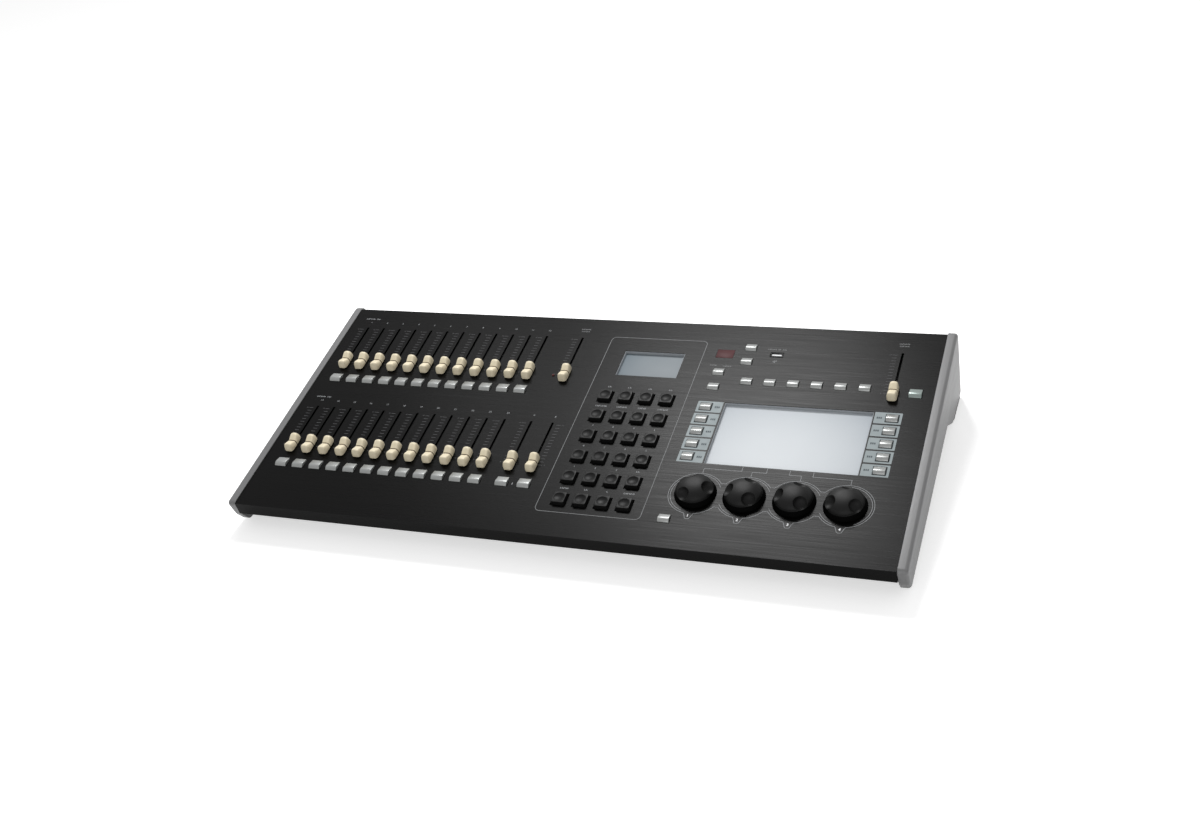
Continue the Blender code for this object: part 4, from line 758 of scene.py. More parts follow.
def make_buttons():
    for name, size, places, made in button_groups():
        bm = bmesh.new()
        for x, y in places:
            add_wedge(bm, x, y, size)
        for place in places:
            flange = (size[0] + 2 * FLANGE_MARGIN, size[1] + 2 * FLANGE_MARGIN)
            soft_box(bm, place, flange, FLANGE_BOTTOM, FLANGE_TOP, 0.3 * MM, 1)
        for start, end in web_runs(places):
            middle = ((start[0] + end[0]) / 2, (start[1] + end[1]) / 2)
            web = (abs(end[0] - start[0]) + WEB_WIDTH, abs(end[1] - start[1]) + WEB_WIDTH)
            soft_box(bm, middle, web, FLANGE_BOTTOM + 0.1 * MM, FLANGE_TOP - 0.1 * MM, 0.3 * MM, 1)
        piece = object_from(bm, name + "_caps", name, (made, WEB_DARK), sharp=50.0)
        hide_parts(name)


def on_square(angle, width, depth, radius):
    """Point on a rounded rectangle's edge in the direction of an angle from its middle."""
    direction = Vector((math.cos(angle), math.sin(angle)))
    low, high = 0.0, width + depth
    for _ in range(40):
        reach = (low + high) / 2
        over_x = max(abs(direction.x * reach) - (width / 2 - radius), 0.0)
        over_y = max(abs(direction.y * reach) - (depth / 2 - radius), 0.0)
        if math.hypot(over_x, over_y) < radius:
            low = reach
        else:
            high = reach
    return direction * low


def key_rings():
    """Rings from the middle of the dish out to the rim and down the sides of a keycap."""
    segments = 48
    turns = [2 * math.pi * (step + 0.5) / segments for step in range(segments)]
    rings = []
    for share in (0.15, 0.35, 0.55, 0.72, 0.86, 0.95, 1.0):
        z = KEY_RISE - DISH_DEPTH * (1 - share ** 2) ** 0.9
        reach = DISH_RADIUS * share
        rings.append([(reach * math.cos(t), reach * math.sin(t), z) for t in turns])
    rim = DISH_RADIUS + 0.22 * MM
    rings.append([(rim * math.cos(t), rim * math.sin(t), KEY_RISE + 0.02 * MM) for t in turns])
    top = (KEY_SIZE[0] - 2 * KEY_TAPER, KEY_SIZE[1] - 2 * KEY_TAPER)
    edge = 0.25 * MM
    for inset, drop in edge_steps(edge, (0, 30, 60, 90)):
        size = (top[0] - 2 * inset, top[1] - 2 * inset)
        rings.append([(*on_square(t, *size, 1.0 * MM - inset), KEY_RISE - drop) for t in turns])
    rings.append([(*on_square(t, *KEY_SIZE, 1.0 * MM), FLANGE_BOTTOM + 0.4 * MM) for t in turns])
    return rings


def make_keys():
    rings = key_rings()
    bm = bmesh.new()
    for x, y in key_places():
        loft(bm, [[(x + px, y + py, pz) for px, py, pz in ring] for ring in rings])
    (left, front), (right, rear) = key_places()[0], key_places()[-1]
    flange = (right - left + KEY_SIZE[0] + 2 * FLANGE_MARGIN, rear - front + KEY_SIZE[1] + 2 * FLANGE_MARGIN)
    soft_box(bm, ((left + right) / 2, (front + rear) / 2), flange, FLANGE_BOTTOM, FLANGE_TOP, 0.3 * MM, 1)
    piece = object_from(bm, "keypad_caps", "keypad_keys", (KEY_BLACK, WEB_DARK), sharp=40.0)
    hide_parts("keypad_keys")


# Knobs

def lower_of(first, second, ease):
    """The lower of two heights, eased where they meet."""
    mix = min(max(0.5 + 0.5 * (first - second) / ease, 0.0), 1.0)
    return first + (second - first) * mix - ease * mix * (1 - mix) * 0.5


def scooped_height(x, y):
    """Height of the knob's skin: a dome that falls to a skirt, with three finger scoops."""
    radius = math.hypot(x, y)
    share = min(radius / KNOB_SHOULDER_RADIUS, 1.0)
    height = KNOB_SHOULDER_RISE + (KNOB_RISE - KNOB_SHOULDER_RISE) * (1 - share ** 2.5) ** 0.64
    fall = (KNOB_SHOULDER_RISE - KNOB_LIFT) / (KNOB_BASE_RADIUS - KNOB_SHOULDER_RADIUS)
    if radius > KNOB_SHOULDER_RADIUS:
        height -= (radius - KNOB_SHOULDER_RADIUS) * fall
    for index in range(3):
        turn = 2 * math.pi * index / 3
        gap = math.hypot(x - SCOOP_ORBIT * math.cos(turn), y - SCOOP_ORBIT * math.sin(turn))
        if gap < SCOOP_RADIUS:
            scoop = SCOOP_RISE - math.sqrt(SCOOP_RADIUS ** 2 - gap ** 2)
            height = lower_of(height, scoop, 0.7 * MM)
    return height


def knob_mesh():
    segments = 180
    inside = [
        (SHAFT_RADIUS, SHAFT_LOW), (SHAFT_RADIUS, BUSHING_TOP), (RECESS_RADIUS, BUSHING_TOP),
        (RECESS_RADIUS, KNOB_LIFT), (KNOB_BASE_RADIUS - 0.4 * MM, KNOB_LIFT),
        (KNOB_BASE_RADIUS - 0.1 * MM, KNOB_LIFT + 0.1 * MM),
    ]
    rings = [[(x, y, z) for x, y in circle(radius, segments)] for radius, z in inside]
    rim = KNOB_SHOULDER_RADIUS - 0.4 * MM
    shares = (2.7, 2.0, 1.4, 1.0, 0.7, 0.5, 0.35, 0.2, 0.08, -0.04, -0.2)
    skirt = [KNOB_SHOULDER_RADIUS + share * MM for share in shares]
    steps = 56
    for radius in skirt + [rim * (1 - step / steps) for step in range(steps)]:
        rings.append([(x, y, scooped_height(x, y)) for x, y in circle(radius, segments)])
    bm = bmesh.new()
    faces = loft(bm, rings)
    for face in faces:
        if face.calc_center_median().xy.length > KNOB_SHOULDER_RADIUS + 0.3 * MM:
            face.material_index = 1
    return smooth_mesh(bm, "knob_body", (KNOB_BLACK, SKIRT_BLACK), 45.0)


def make_knobs():
    mesh = knob_mesh()
    for index, (x, y) in enumerate(knob_places()):
        name = "knob_%d" % (index + 1)
        turn = Matrix.Rotation(math.radians(KNOB_TURNS[index]), 4, "Z")
        matrix = PANEL @ Matrix.Translation((x, y, 0)) @ turn
        piece = place_mesh(mesh, name + "_body", name, matrix)
        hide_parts(name)


# Cheeks

def rounded_outline(corners, segments=8):
    """Replace each (y, z, radius) corner by an arc."""
    points = []
    for index, (y, z, radius) in enumerate(corners):
        here = Vector((y, z))
        before = Vector(corners[index - 1][:2]) - here
        after = Vector(corners[(index + 1) % len(corners)][:2]) - here
        half = before.angle(after) / 2
        reach = radius / math.tan(half)
        centre = here + (before.normalized() + after.normalized()).normalized() * radius / math.sin(half)
        first = here + before.normalized() * reach - centre
        swing = first.angle_signed(here + after.normalized() * reach - centre)
        for step in range(segments + 1):
            points.append(centre + Matrix.Rotation(-swing * step / segments, 2) @ first)
    return points


def inset_outline(points, distance):
    count = len(points)
    area = sum(points[i - 1].cross(points[i]) for i in range(count))
    side = 1.0 if area > 0 else -1.0
    moved = []
    for index, here in enumerate(points):
        before = (here - points[index - 1]).normalized()
        after = (points[(index + 1) % count] - here).normalized()
        normal_before = Vector((-before.y, before.x)) * side
        normal_after = Vector((-after.y, after.x)) * side
        middle = (normal_before + normal_after).normalized()
        moved.append(here + middle * distance / max(middle.dot(normal_before), 0.5))
    return moved


def cheek_outline():
    """Side view of an end cheek, with its rear foot."""
    rear = PANEL_DEPTH + CHEEK_REAR_REACH
    foot_front = rear - REAR_FOOT_LENGTH
    foot_top = foot_front - REAR_FOOT_LEAN
    front = -CHEEK_FRONT_REACH
    chin = front + CHEEK_CHIN
    lift = FOOT_PAD_THICKNESS
    return rounded_outline([
        (front, CHEEK_PROUD, CHEEK_CORNER_RADIUS),
        (front + CHEEK_KNEE[0], -CHEEK_KNEE[1], CHEEK_KNEE_RADIUS),
        (chin, underside_z(chin) - CHEEK_DROP, CHEEK_CHIN_RADIUS),
        (foot_top, underside_z(foot_top) - CHEEK_DROP, FOOT_ARCH_RADIUS),
        (foot_front, floor_z(foot_front) + lift, FOOT_TOE_RADIUS),
        (rear, floor_z(rear) + lift, CHEEK_CORNER_RADIUS),
        (rear, CHEEK_PROUD, CHEEK_REAR_RADIUS),
    ])


def make_cheek(name, inner_x, side):
    outline = inset_outline(cheek_outline(), 0.13 * MM)
    inner = 0.3 * MM
    radius = CHEEK_EDGE_RADIUS
    steps = [(0.0, inner), (inner, 0.0), (CHEEK_THICKNESS - radius, 0.0)]
    steps += [(CHEEK_THICKNESS - short, inset) for short, inset in edge_steps(radius, range(15, 91, 15))]
    bm = bmesh.new()
    rings = []
    for reach, inset in steps:
        points = inset_outline(outline, inset) if inset else outline
        rings.append([(inner_x + side * reach, point.x, point.y) for point in points])
    loft(bm, rings)
    piece = object_from(bm, name + "_shell", "case", (CHEEK_GREY,), sharp=40.0)
    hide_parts(name)


# Marks on the panel

def print_piece(bm, name, *finishes):
    object_from(bm, name, "case", finishes)


def make_fader_scales():
    """Ticks beside each slot, with a number at the top and bottom of the scale."""
    bm = bmesh.new()
    pitch = FADER_TRAVEL / (TICK_COUNT - 1)
    for name, x, slot_top in fader_places():
        side = 1 if name == "fader_b" else -1
        bottom = fader_rest_y(slot_top)
        near = x + side * TICK_OFFSET
        for index in range(TICK_COUNT):
            y = bottom + index * pitch
            stroke(bm, [(near, y), (near + side * TICK_LENGTH, y)], TICK_WIDTH, high=2 * PRINT_TOP)
        for text, y in (("10", bottom + FADER_TRAVEL), ("0", bottom)):
            add_text(bm, text, x + side * SCALE_NUMBER_OFFSET, y, SCALE_NUMBER_SIZE)
    print_piece(bm, "fader_scales", PRINT_DIM)


def make_fader_numbers():
    bm = bmesh.new()
    for index in range(FADER_COUNT):
        x = FADER_FIRST_X + index * FADER_PITCH
        add_text(bm, str(index + 1), x, UPPER_SLOT_TOP + 9.4 * MM, NUMBER_SIZE)
        add_text(bm, str(index + 1 + FADER_COUNT), x, LOWER_SLOT_TOP + 9.7 * MM, NUMBER_SIZE)
    add_text(bm, "A", FADER_A_X, LOWER_SLOT_TOP + 9.3 * MM, NUMBER_SIZE)
    add_text(bm, "B", FADER_B_X, LOWER_SLOT_TOP + 8.9 * MM, NUMBER_SIZE)
    print_piece(bm, "fader_numbers", PRINT_PALE)


def make_panel_labels():
    """Rows of marks where the panel has words, and the small signs beside its controls."""
    bm = bmesh.new()
    for y in (313.5 * MM, 173.5 * MM):
        add_word(bm, 25 * MM, y, "ooooooo ooo")
    words = [(x, y, letters, 1.8 * MM) for x in (MASTER_FADER_X, RIGHT_FADER_X)
             for y, letters in ((312.3 * MM, "ooooooo"), (308.6 * MM, "oooooo"))]
    words += [
        (468 * MM, 263.3 * MM, "ooooo", 1.7 * MM),
        (483 * MM, 262.6 * MM, "oooooo", 1.7 * MM),
        (532 * MM, 293.6 * MM, "oooooo oo ooo", 1.8 * MM),
    ]
    for word in words:
        add_word(bm, *word, 1)
    stroke(bm, mm((303.5, 63.6), (303.5, 66.4)), 0.8 * MM)
    for sign in (mm((533, 271.6), (533, 276.2)), mm((531.2, 275.4), (531.2, 273.6), (533, 272.6)),
                 mm((534.8, 276), (534.8, 274.6), (533, 273.4))):
        stroke(bm, sign, 0.5 * MM)
    print_piece(bm, "panel_labels", PRINT_PALE, PRINT_LINE)


def make_keypad_marks():
    """The keypad's outline, its digits, and rows of marks where its other keys have words."""
    bm = bmesh.new()
    stroke(bm, rounded_rectangle(*KEYPAD_FRAME, KEYPAD_FRAME_CORNER, 8), KEYPAD_LINE, 1, closed=True)
    lengths = [(5, 2, 1, 6), (0, 0, 0, 2), (0, 0, 0, 1), (0, 0, 0, 1), (7, 6, 5, 6), (2, 2, 2, 2)]
    for index, (x, y) in enumerate(key_places()):
        row, column = divmod(index, 4)
        mark_y = y + KEY_MARK_RISE
        if row in (1, 2, 3) and column < 3:
            add_text(bm, str(3 * row - 2 + column), x, mark_y, NUMBER_SIZE)
        else:
            add_word(bm, x, mark_y, "o" * lengths[row][column], KEY_WORD_HEIGHT)
    print_piece(bm, "keypad_marks", PRINT_PALE, PRINT_LINE)


def ring_outline():
    """One line round all four encoders: arcs, bridges between neighbours and a tab under each."""
    half_tab = mm((-4.4, -28.2), (-3.0, -31.4), (-2.4, -34.0), (0, -34.4))
    tab = half_tab + [(-x, y) for x, y in reversed(half_tab[:-1])]
    places = knob_places()
    path = []
    last = len(places) - 1
    for index, (x, y) in enumerate(places):
        start = 180 if index == 0 else 180 + RING_BRIDGE
        end = 360 if index == last else 360 - RING_BRIDGE
        path += arc(x, y, RING_RADIUS, start, 270 - RING_TAB, 14)
        path += soften([(x + tab_x, y + tab_y) for tab_x, tab_y in tab])
        path += arc(x, y, RING_RADIUS, 270 + RING_TAB, end, 14)
    for index, (x, y) in reversed(list(enumerate(places))):
        start = 0 if index == last else RING_BRIDGE
        end = 180 if index == 0 else 180 - RING_BRIDGE
        steps = arc(x, y, RING_RADIUS, start, end, 24)
        path += steps[1:] if index == last else steps
    return path[:-1]


def make_knob_rings():
    bm = bmesh.new()
    stroke(bm, ring_outline(), RING_LINE, closed=True)
    places = knob_places()
    last = len(places) - 1
    for index, (x, y) in enumerate(places):
        stroke(bm, arc(x, y, INNER_RING_RADIUS, 130 if index == 0 else 207, 250, 24), RING_LINE)
        stroke(bm, arc(x, y, INNER_RING_RADIUS, -62 if index == last else 25, 86, 30), RING_LINE)
        end_x = LEADER_X[index]
        stroke(bm, [(x, y + 27.4 * MM), (x, LEADER_TURN_Y), (end_x, LEADER_TURN_Y), (end_x, LEADER_END_Y)],
               RING_LINE)
        add_text(bm, str(index + 1), x, y - KNOB_DIGIT_DROP, KNOB_DIGIT_SIZE, 1, 0.18 * MM)
    print_piece(bm, "knob_rings", PRINT_PALE, PRINT_WHITE)


def make_softkey_patches():
    """Pale patches beside the screen, with a dark frame round each key and marks in place of words."""
    bm = bmesh.new()
    for column_x, left, right, mark_x in PATCH_COLUMNS:
        for key_x, y in softkey_column(column_x):
            patch = rounded_rectangle((left + right) / 2, y, right - left, PATCH_HEIGHT, PATCH_CORNER, 2)
            ring = rounded_rectangle(key_x, y, *KEY_FRAME_SIZE, PATCH_CORNER, 2)
            hole = rounded_rectangle(key_x, y, SMALL_SIZE[0] + 2 * BUTTON_GAP, SMALL_SIZE[1] + 2 * BUTTON_GAP,
                                     0.2 * MM, 2)
            frame_prism(bm, patch, ring, PRINT_FOOT, PRINT_TOP, 0)
            frame_prism(bm, ring, hole, PRINT_FOOT, PRINT_TOP + 0.02 * MM, 1)
            for step in (-1, 0, 1):
                x = mark_x + step * (PATCH_MARK_WIDTH + PATCH_MARK_GAP)
                stroke(bm, [(x, y - 1.3 * MM), (x, y + 1.3 * MM)], PATCH_MARK_WIDTH, 2,
                       high=PRINT_TOP + 0.03 * MM)
    print_piece(bm, "softkey_patches", PATCH_BLUE, RIM_DARK, PRINT_DARK)


# Displays, lamp and port

def make_display_face(name, centre, size, face):
    """A flat face in its window, with a grey liner up the window's sides."""
    bm = bmesh.new()
    gap = 0.1 * MM
    wall = 0.5 * MM
    outer = rounded_rectangle(*centre, size[0] - 2 * gap, size[1] - 2 * gap, 0.4 * MM, 2)
    inner = rounded_rectangle(*centre, size[0] - 2 * (gap + wall), size[1] - 2 * (gap + wall), 0.3 * MM, 2)
    low = -GLASS_DROP - 0.1 * MM
    frame_prism(bm, outer, inner, low, -0.5 * MM, 1)
    prism(bm, inner, low, -GLASS_DROP + 0.2 * MM, 0)
    object_from(bm, name, "case", (face, LINER_GREY))


def make_level_window():
    bm = bmesh.new()
    size = (LEVEL_SIZE[0] - FIT_GAP, LEVEL_SIZE[1] - FIT_GAP)
    soft_box(bm, LEVEL_CENTRE, size, -1.2 * MM, 0.15 * MM, 0.3 * MM)
    object_from(bm, "level_window", "case", (LENS_RED,))


def make_lamp():
    bm = bmesh.new()
    radius = 1.5 * MM
    profile = [(radius, -2 * MM), (radius, 0.5 * MM)]
    for angle in (25, 45, 65, 82):
        turn = math.radians(angle)
        profile.append((radius * math.cos(turn), 0.5 * MM + 1.1 * MM * math.sin(turn)))
    turned(bm, profile, 24, Matrix.Translation((*LAMP_PLACE, 0)))
    object_from(bm, "indicator_lamp", "case", (LAMP_RED,))


def make_panel_port():
    """A shell round the port's mouth, painted dark as the shade inside it, and contacts on its tongue."""
    bm = bmesh.new()
    rounded_frame(bm, PORT_CENTRE, *mm((14.6, 8.0, 0.5), (12.9, 5.6, 0.4)), -4 * MM, 0.1 * MM)
    soft_box(bm, PORT_CENTRE, (10.4 * MM, 2.0 * MM), -6 * MM, -0.3 * MM, 0.15 * MM, 1)
    for index in range(4):
        place = (PORT_CENTRE[0] + (index - 1.5) * 2.5 * MM, PORT_CENTRE[1] - 1.025 * MM)
        soft_box(bm, place, (1.2 * MM, 0.25 * MM), -5 * MM, -0.95 * MM, 0.05 * MM, 2)
    object_from(bm, "panel_port_shell", "case", (HOLE_SHADE, PRINT_WHITE, BRIGHT_METAL))


# Rear and underside

def rear_matrix(x, y, z=FITTING_Z):
    """Local z points out of the rear panel and local y points up."""
    turn = Matrix(((-1, 0, 0, 0), (0, 0, 1, 0), (0, 1, 0, 0), (0, 0, 0, 1)))
    return Matrix.Translation((x, y, z)) @ turn


def place_in(bm, matrix, build):
    """Build something in its own frame and set it in place."""
    known = set(bm.verts)
    build(bm)
    for vert in bm.verts:
        if vert not in known:
            vert.co = matrix @ vert.co


def add_screw(bm, matrix, radius=2.6 * MM):
    """A low domed head with a cross on top, painted dark as the shade in its slot."""
    def build(bm):
        turned(bm, [(radius, 0.0), (radius, 0.5 * MM), (0.9 * radius, 1.0 * MM), (0.6 * radius, 1.35 * MM),
                    (0.2 * radius, 1.45 * MM)], 20)
        arm = [(along * radius, across * radius) for along, across in (
            (-0.45, -0.13), (0.45, -0.13), (0.45, 0.13), (-0.45, 0.13))]
        for outline in (arm, [(-y, x) for x, y in arm]):
            prism(bm, outline, 1.2 * MM, 1.5 * MM, 1)
    place_in(bm, matrix, build)


def make_case_screws():
    bm = bmesh.new()
    rear_z = underside_z(REAR_PANEL_Y) + 1.5 * MM + 6.4 * MM
    for index in range(6):
        x = 16 * MM + index * (PANEL_WIDTH - 32 * MM) / 5
        add_screw(bm, rear_matrix(x, REAR_PANEL_Y + REAR_PANEL_SHEET, rear_z))
    down = Matrix.Rotation(math.atan(UNDERSIDE_SLOPE) + math.pi, 4, "X")
    for x in (16 * MM, PANEL_WIDTH - 16 * MM):
        for index in range(3):
            y = 32 * MM + index * (PANEL_DEPTH - 48 * MM) / 2
            add_screw(bm, Matrix.Translation((x, y, underside_z(y))) @ down.inverted(), 2.8 * MM)
    object_from(bm, "case_screws", "case", (SCREW_METAL, HOLE_SHADE))


def make_fitting(name, places, build):
    """Build a fitting in its own frame at each place along the rear panel."""
    bm = bmesh.new()
    for x in places:
        place_in(bm, rear_matrix(x, FITTING_OUTER), build)
    object_from(bm, name, "case", FITTING_FINISHES)


def add_pin_holes(bm, reach, angles, profile, segments):
    """Discs painted dark as the shade in pin holes, at angles round a fitting's middle, in degrees."""
    for angle in angles:
        turn = math.radians(angle)
        place = Matrix.Translation((reach * math.cos(turn), reach * math.sin(turn), 0))
        turned(bm, profile, segments, place, HOLE_SHADE_INDEX)


def add_data_outlet(bm):
    """A round face with five pin holes, drawn as discs painted dark as shade, and a latch."""
    turned(bm, mm((11.9, 0), (11.9, 0.4), (11.6, 0.7), (10.9, 0.7)), 48)
    turned(bm, mm((8.3, 0.6), (8.3, 0.9), (8.0, 1.1)), 40)
    add_pin_holes(bm, 5.0 * MM, range(120, 361, 60), mm((1.15, 1.0), (1.15, 1.16), (1.0, 1.2)), 16)
    soft_box(bm, (0, 9.9 * MM), (5.2 * MM, 3.0 * MM), 0.4 * MM, 1.8 * MM, 0.4 * MM, METAL)


def add_round_socket(bm):
    """A metal shell with five pin holes in an arc, drawn as discs painted dark as shade."""
    turned(bm, mm((8.7, 0), (8.7, 0.5), (8.4, 0.8), (7.5, 0.8), (7.3, 0.4)), 40, material=METAL)
    turned(bm, mm((6.4, 0.3), (6.4, 1.0), (6.2, 1.1)), 36)
    add_pin_holes(bm, 4.3 * MM, range(0, 181, 45), mm((0.75, 1.0), (0.75, 1.15), (0.6, 1.2)), 12)


def add_video_outlet(bm):
    """A metal shell with sloping sides, three rows of discs painted dark as the shade in pin holes, and two
    jack screws whose holes are painted dark the same way.
    """
    def shell(width, depth):
        slope = 1.2 * MM
        return soften([(-width / 2, depth / 2), (width / 2, depth / 2), (width / 2 - slope, -depth / 2),
                       (-width / 2 + slope, -depth / 2)], closed=True)

    soft_box(bm, (0, 0), (30.4 * MM, 12.0 * MM), -0.5 * MM, 0.5 * MM, 0.3 * MM, METAL)
    frame_prism(bm, shell(17.6 * MM, 8.6 * MM), shell(16.6 * MM, 7.6 * MM), 0.2 * MM, 4.4 * MM, METAL)
    prism(bm, shell(16.4 * MM, 7.4 * MM), 0.2 * MM, 3.0 * MM)
    for row in (-1, 0, 1):
        for column in range(5):
            hole = Matrix.Translation(((column - 2) * 2.3 * MM + row * 0.6 * MM, row * 2.0 * MM, 0))
            turned(bm, mm((0.5, 2.9), (0.5, 3.05), (0.4, 3.1)), 10, hole, HOLE_SHADE_INDEX)
    for side in (-1, 1):
        jack = Matrix.Translation((side * 12.4 * MM, 0, 0))
        turned(bm, mm((2.6, 0.4), (2.6, 3.0), (2.3, 3.3)), 6, jack, METAL)
        turned(bm, mm((1.3, 3.2), (1.3, 3.35), (1.2, 3.4)), 16, jack, HOLE_SHADE_INDEX)


def add_host_port(bm):
    rounded_frame(bm, (0, 0), *mm((14.2, 7.2, 0.5), (12.8, 5.6, 0.4)), -1 * MM, 0.4 * MM, METAL)
    soft_box(bm, (0, 0), (11.8 * MM, 1.7 * MM), -6 * MM, 0.1 * MM, 0.15 * MM, TONGUE)


def add_inlet_blades(bm):
    """Three blades in the inlet, and the frame round its mouth."""
    for place in mm((-7, -2), (0, 2), (7, -2)):
        soft_box(bm, place, (2.0 * MM, 4.0 * MM), -14.6 * MM, -2.0 * MM, 0.3 * MM, METAL)
    rounded_frame(bm, (0, 0), *mm((32.4, 25.4, 2.0), (24.0, 17.0, 1.0)), -0.2 * MM, 0.5 * MM, PLASTIC, 4)


def make_rocker():
    """The switch's rocker with a line on one half and a ring on the other."""
    pivot = Matrix.Translation((ROCKER_X, FITTING_FACE - 2.0 * MM, FITTING_Z))
    pivot = pivot @ Matrix.Rotation(ROCKER_TIP, 4, "X")
    tip = 0.92 * ROCKER_SIZE[1] / 2
    nose = 4.0 * MM
    outline = soften([
        (-0.5 * tip, -0.3 * tip), (0.4 * nose, -tip), (nose, -tip), (0.8 * nose, 0.0), (nose, tip),
        (0.4 * nose, tip), (-0.5 * tip, 0.3 * tip)], 2, closed=True)
    bm = bmesh.new()
    half = ROCKER_SIZE[0] / 2 - FIT_GAP
    edge = 0.3 * MM
    rings = []
    for x, inset in ((-half, edge), (-half + edge, 0.0), (half - edge, 0.0), (half, edge)):
        points = inset_outline([Vector(point) for point in outline], inset) if inset else outline
        rings.append([(x, point[0], point[1]) for point in points])
    loft(bm, rings)
    face = Matrix(((1, 0, 0, 0), (0, 0, 1, 0.85 * nose - 0.05 * MM), (0, 1, 0, 0), (0, 0, 0, 1)))

    def build(bm):
        level = {"low": -0.3 * MM, "high": 0.25 * MM}
        stroke(bm, mm((0, 3.2), (0, 6.4)), 0.7 * MM, 1, **level)
        stroke(bm, circle(1.6 * MM, 24, 0, -4.8 * MM), 0.6 * MM, 1, closed=True, **level)

    place_in(bm, face, build)
    piece = object_from(bm, "rocker_cap", "power_rocker", (SOCKET_BLACK, PRINT_PALE),
                        PANEL @ pivot, 40.0)
    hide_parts("power_rocker")


# Carried-over nodes

def dress(name, made, bevel=0.0):
    """Give a carried-over node its finish and, if asked, lightly rounded edges."""
    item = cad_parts[name]
    if not item.material_slots:
        item.data.materials.append(made)
    for slot in item.material_slots:
        slot.material = made
    if bevel:
        step = item.modifiers.new("edges", "BEVEL")
        step.width = bevel
        step.segments = 2
        step.limit_method = "ANGLE"
        step.angle_limit = math.radians(40)
        step.use_clamp_overlap = True


def dress_nodes():
    for made, bevel, names in (
            (PANEL_BLACK, 0.0, ("top_panel",)),
            (CASE_BLACK, 0.0, ("base_pan", "rear_panel")),
            (BOARD_GREEN, 0.0, ("upper_fader_board", "lower_fader_board", "keypad_board", "control_board")),
            (MAIN_GREEN, 0.0, ("main_board",)),
            (BEZEL_GREY, 0.0, ("touchscreen", "text_display")),
            (SOCKET_BLACK, 0.0, ("rear_sockets", "power_supply")),
            (RUBBER, 0.3 * MM, ("rear_left_foot", "rear_right_foot", "front_left_foot", "front_right_foot"))):
        for name in names:
            dress(name, made, bevel)


# Camera, floor and light

CAMERA_PLACE = PANEL @ Vector((0.90286, -0.82964, 0.98431))
CAMERA_TURN = Euler([math.radians(angle) for angle in (57.1084, 8.5308, 19.5755)])
CAMERA_LENS = 42.42
FLOOR_HALF = 6.0
FLOOR_GLOW = 0.55

# Lamps: name, place and aim in the panel's frame, width, height, power in watts
LAMPS = [
    ("key", (0.082, 1.383, 1.300), (0.450, 0.165, 0.0), 0.54, 0.48, 26.0),
    ("side", (-0.522, 1.383, 1.300), (0.200, 0.165, 0.0), 0.30, 0.48, 2.2),
    ("fill", (0.750, -1.500, 0.900), (0.350, 0.165, 0.0), 1.60, 1.00, 7.0),
]
SKY_LEVEL = 0.42


def make_camera():
    data = bpy.data.cameras.new("camera")
    data.lens = CAMERA_LENS
    data.sensor_width = 36.0
    item = linked("camera", data)
    item.matrix_world = Matrix.Translation(CAMERA_PLACE) @ CAMERA_TURN.to_matrix().to_4x4()
    bpy.context.scene.camera = item


def make_lamps():
    for name, place, aim, width, height, power in LAMPS:
        data = bpy.data.lights.new(name, "AREA")
        data.shape = "RECTANGLE"
        data.size = width
        data.size_y = height
        data.energy = power
        item = linked(name, data)
        start = PANEL @ Vector(place)
        turn = (PANEL @ Vector(aim) - start).to_track_quat("-Z", "Y")
        item.matrix_world = Matrix.Translation(start) @ turn.to_matrix().to_4x4()


def seen_directly(tree):
    """1 for camera, glossy and transmission rays and 0 for all others."""
    path = tree.nodes.new("ShaderNodeLightPath")
    total = path.outputs["Is Camera Ray"]
    for output in ("Is Glossy Ray", "Is Transmission Ray"):
        larger = node(tree, "ShaderNodeMath", total, path.outputs[output], operation="MAXIMUM")
        total = larger.outputs["Value"]
    return total


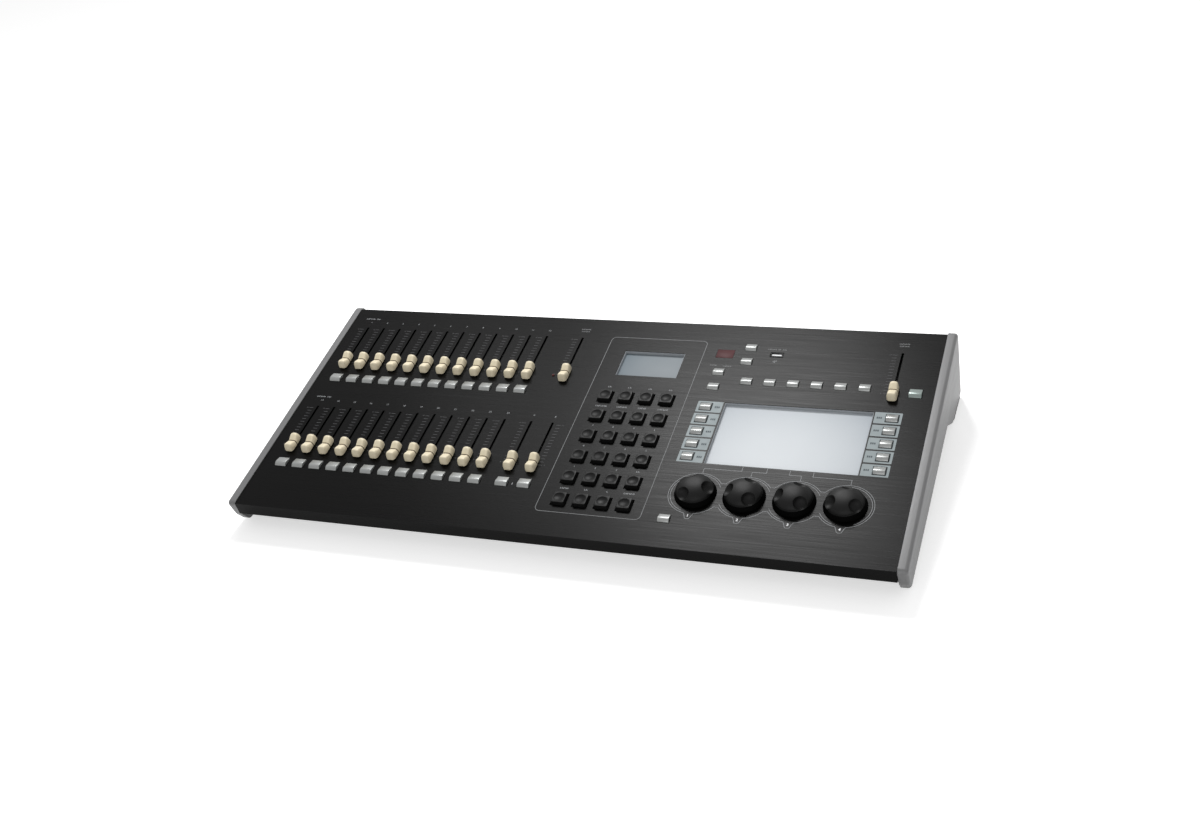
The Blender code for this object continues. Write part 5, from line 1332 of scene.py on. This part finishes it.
def make_world():
    world = bpy.data.worlds.new("studio")
    world.use_nodes = True
    bpy.context.scene.world = world
    tree = world.node_tree
    level = node(tree, "ShaderNodeMapRange", Value=seen_directly(tree), To_Min=SKY_LEVEL, To_Max=1.0)
    background = tree.nodes["Background"]
    feed(tree, background.inputs["Color"], (1, 1, 1, 1))
    feed(tree, background.inputs["Strength"], level.outputs["Result"])


def make_floor():
    """A pale floor that shows white to the camera and keeps the console's shadow."""
    bm = bmesh.new()
    reach = FLOOR_HALF
    prism(bm, [(-reach, -reach), (reach, -reach), (reach, reach), (-reach, reach)], -0.02, 0.0)
    mesh = bpy.data.meshes.new("floor")
    bm.to_mesh(mesh)
    bm.free()
    item = linked("floor", mesh)
    made = finish("floor_paint", (0.90, 0.90, 0.90), 0.9, specular=0.0, vary=0.005, scale=2.0)
    tree = made.node_tree
    paint = tree.nodes["Principled BSDF"].outputs["BSDF"]
    glow = node(tree, "ShaderNodeEmission", Strength=FLOOR_GLOW)
    both = node(tree, "ShaderNodeAddShader", paint, glow.outputs["Emission"])
    pick = node(tree, "ShaderNodeMixShader", seen_directly(tree), paint, both.outputs["Shader"])
    feed(tree, tree.nodes["Material Output"].inputs["Surface"], pick.outputs["Shader"])
    mesh.materials.append(made)


def main():
    make_camera()
    make_world()
    make_lamps()
    make_floor()
    dress_nodes()
    make_faders()
    make_buttons()
    make_keys()
    make_knobs()
    make_cheek("left_cheek", 0.0, -1)
    make_cheek("right_cheek", PANEL_WIDTH, 1)
    make_fader_scales()
    make_fader_numbers()
    make_panel_labels()
    make_keypad_marks()
    make_knob_rings()
    make_softkey_patches()
    make_display_face("screen_face", SCREEN_CENTRE, SCREEN_SIZE, SCREEN_WHITE)
    make_display_face("text_face", TEXT_CENTRE, TEXT_SIZE, TEXT_BLUE)
    make_level_window()
    make_lamp()
    make_panel_port()
    make_case_screws()
    make_fitting("data_outlets", DATA_OUTPUT_X, add_data_outlet)
    make_fitting("round_sockets", ROUND_SOCKET_X, add_round_socket)
    make_fitting("video_outlet", (VIDEO_X,), add_video_outlet)
    make_fitting("host_port", (HOST_PORT_X,), add_host_port)
    make_fitting("inlet_blades", (INLET_X,), add_inlet_blades)
    make_rocker()
    bpy.context.scene.view_settings.view_transform = "Standard"


main()
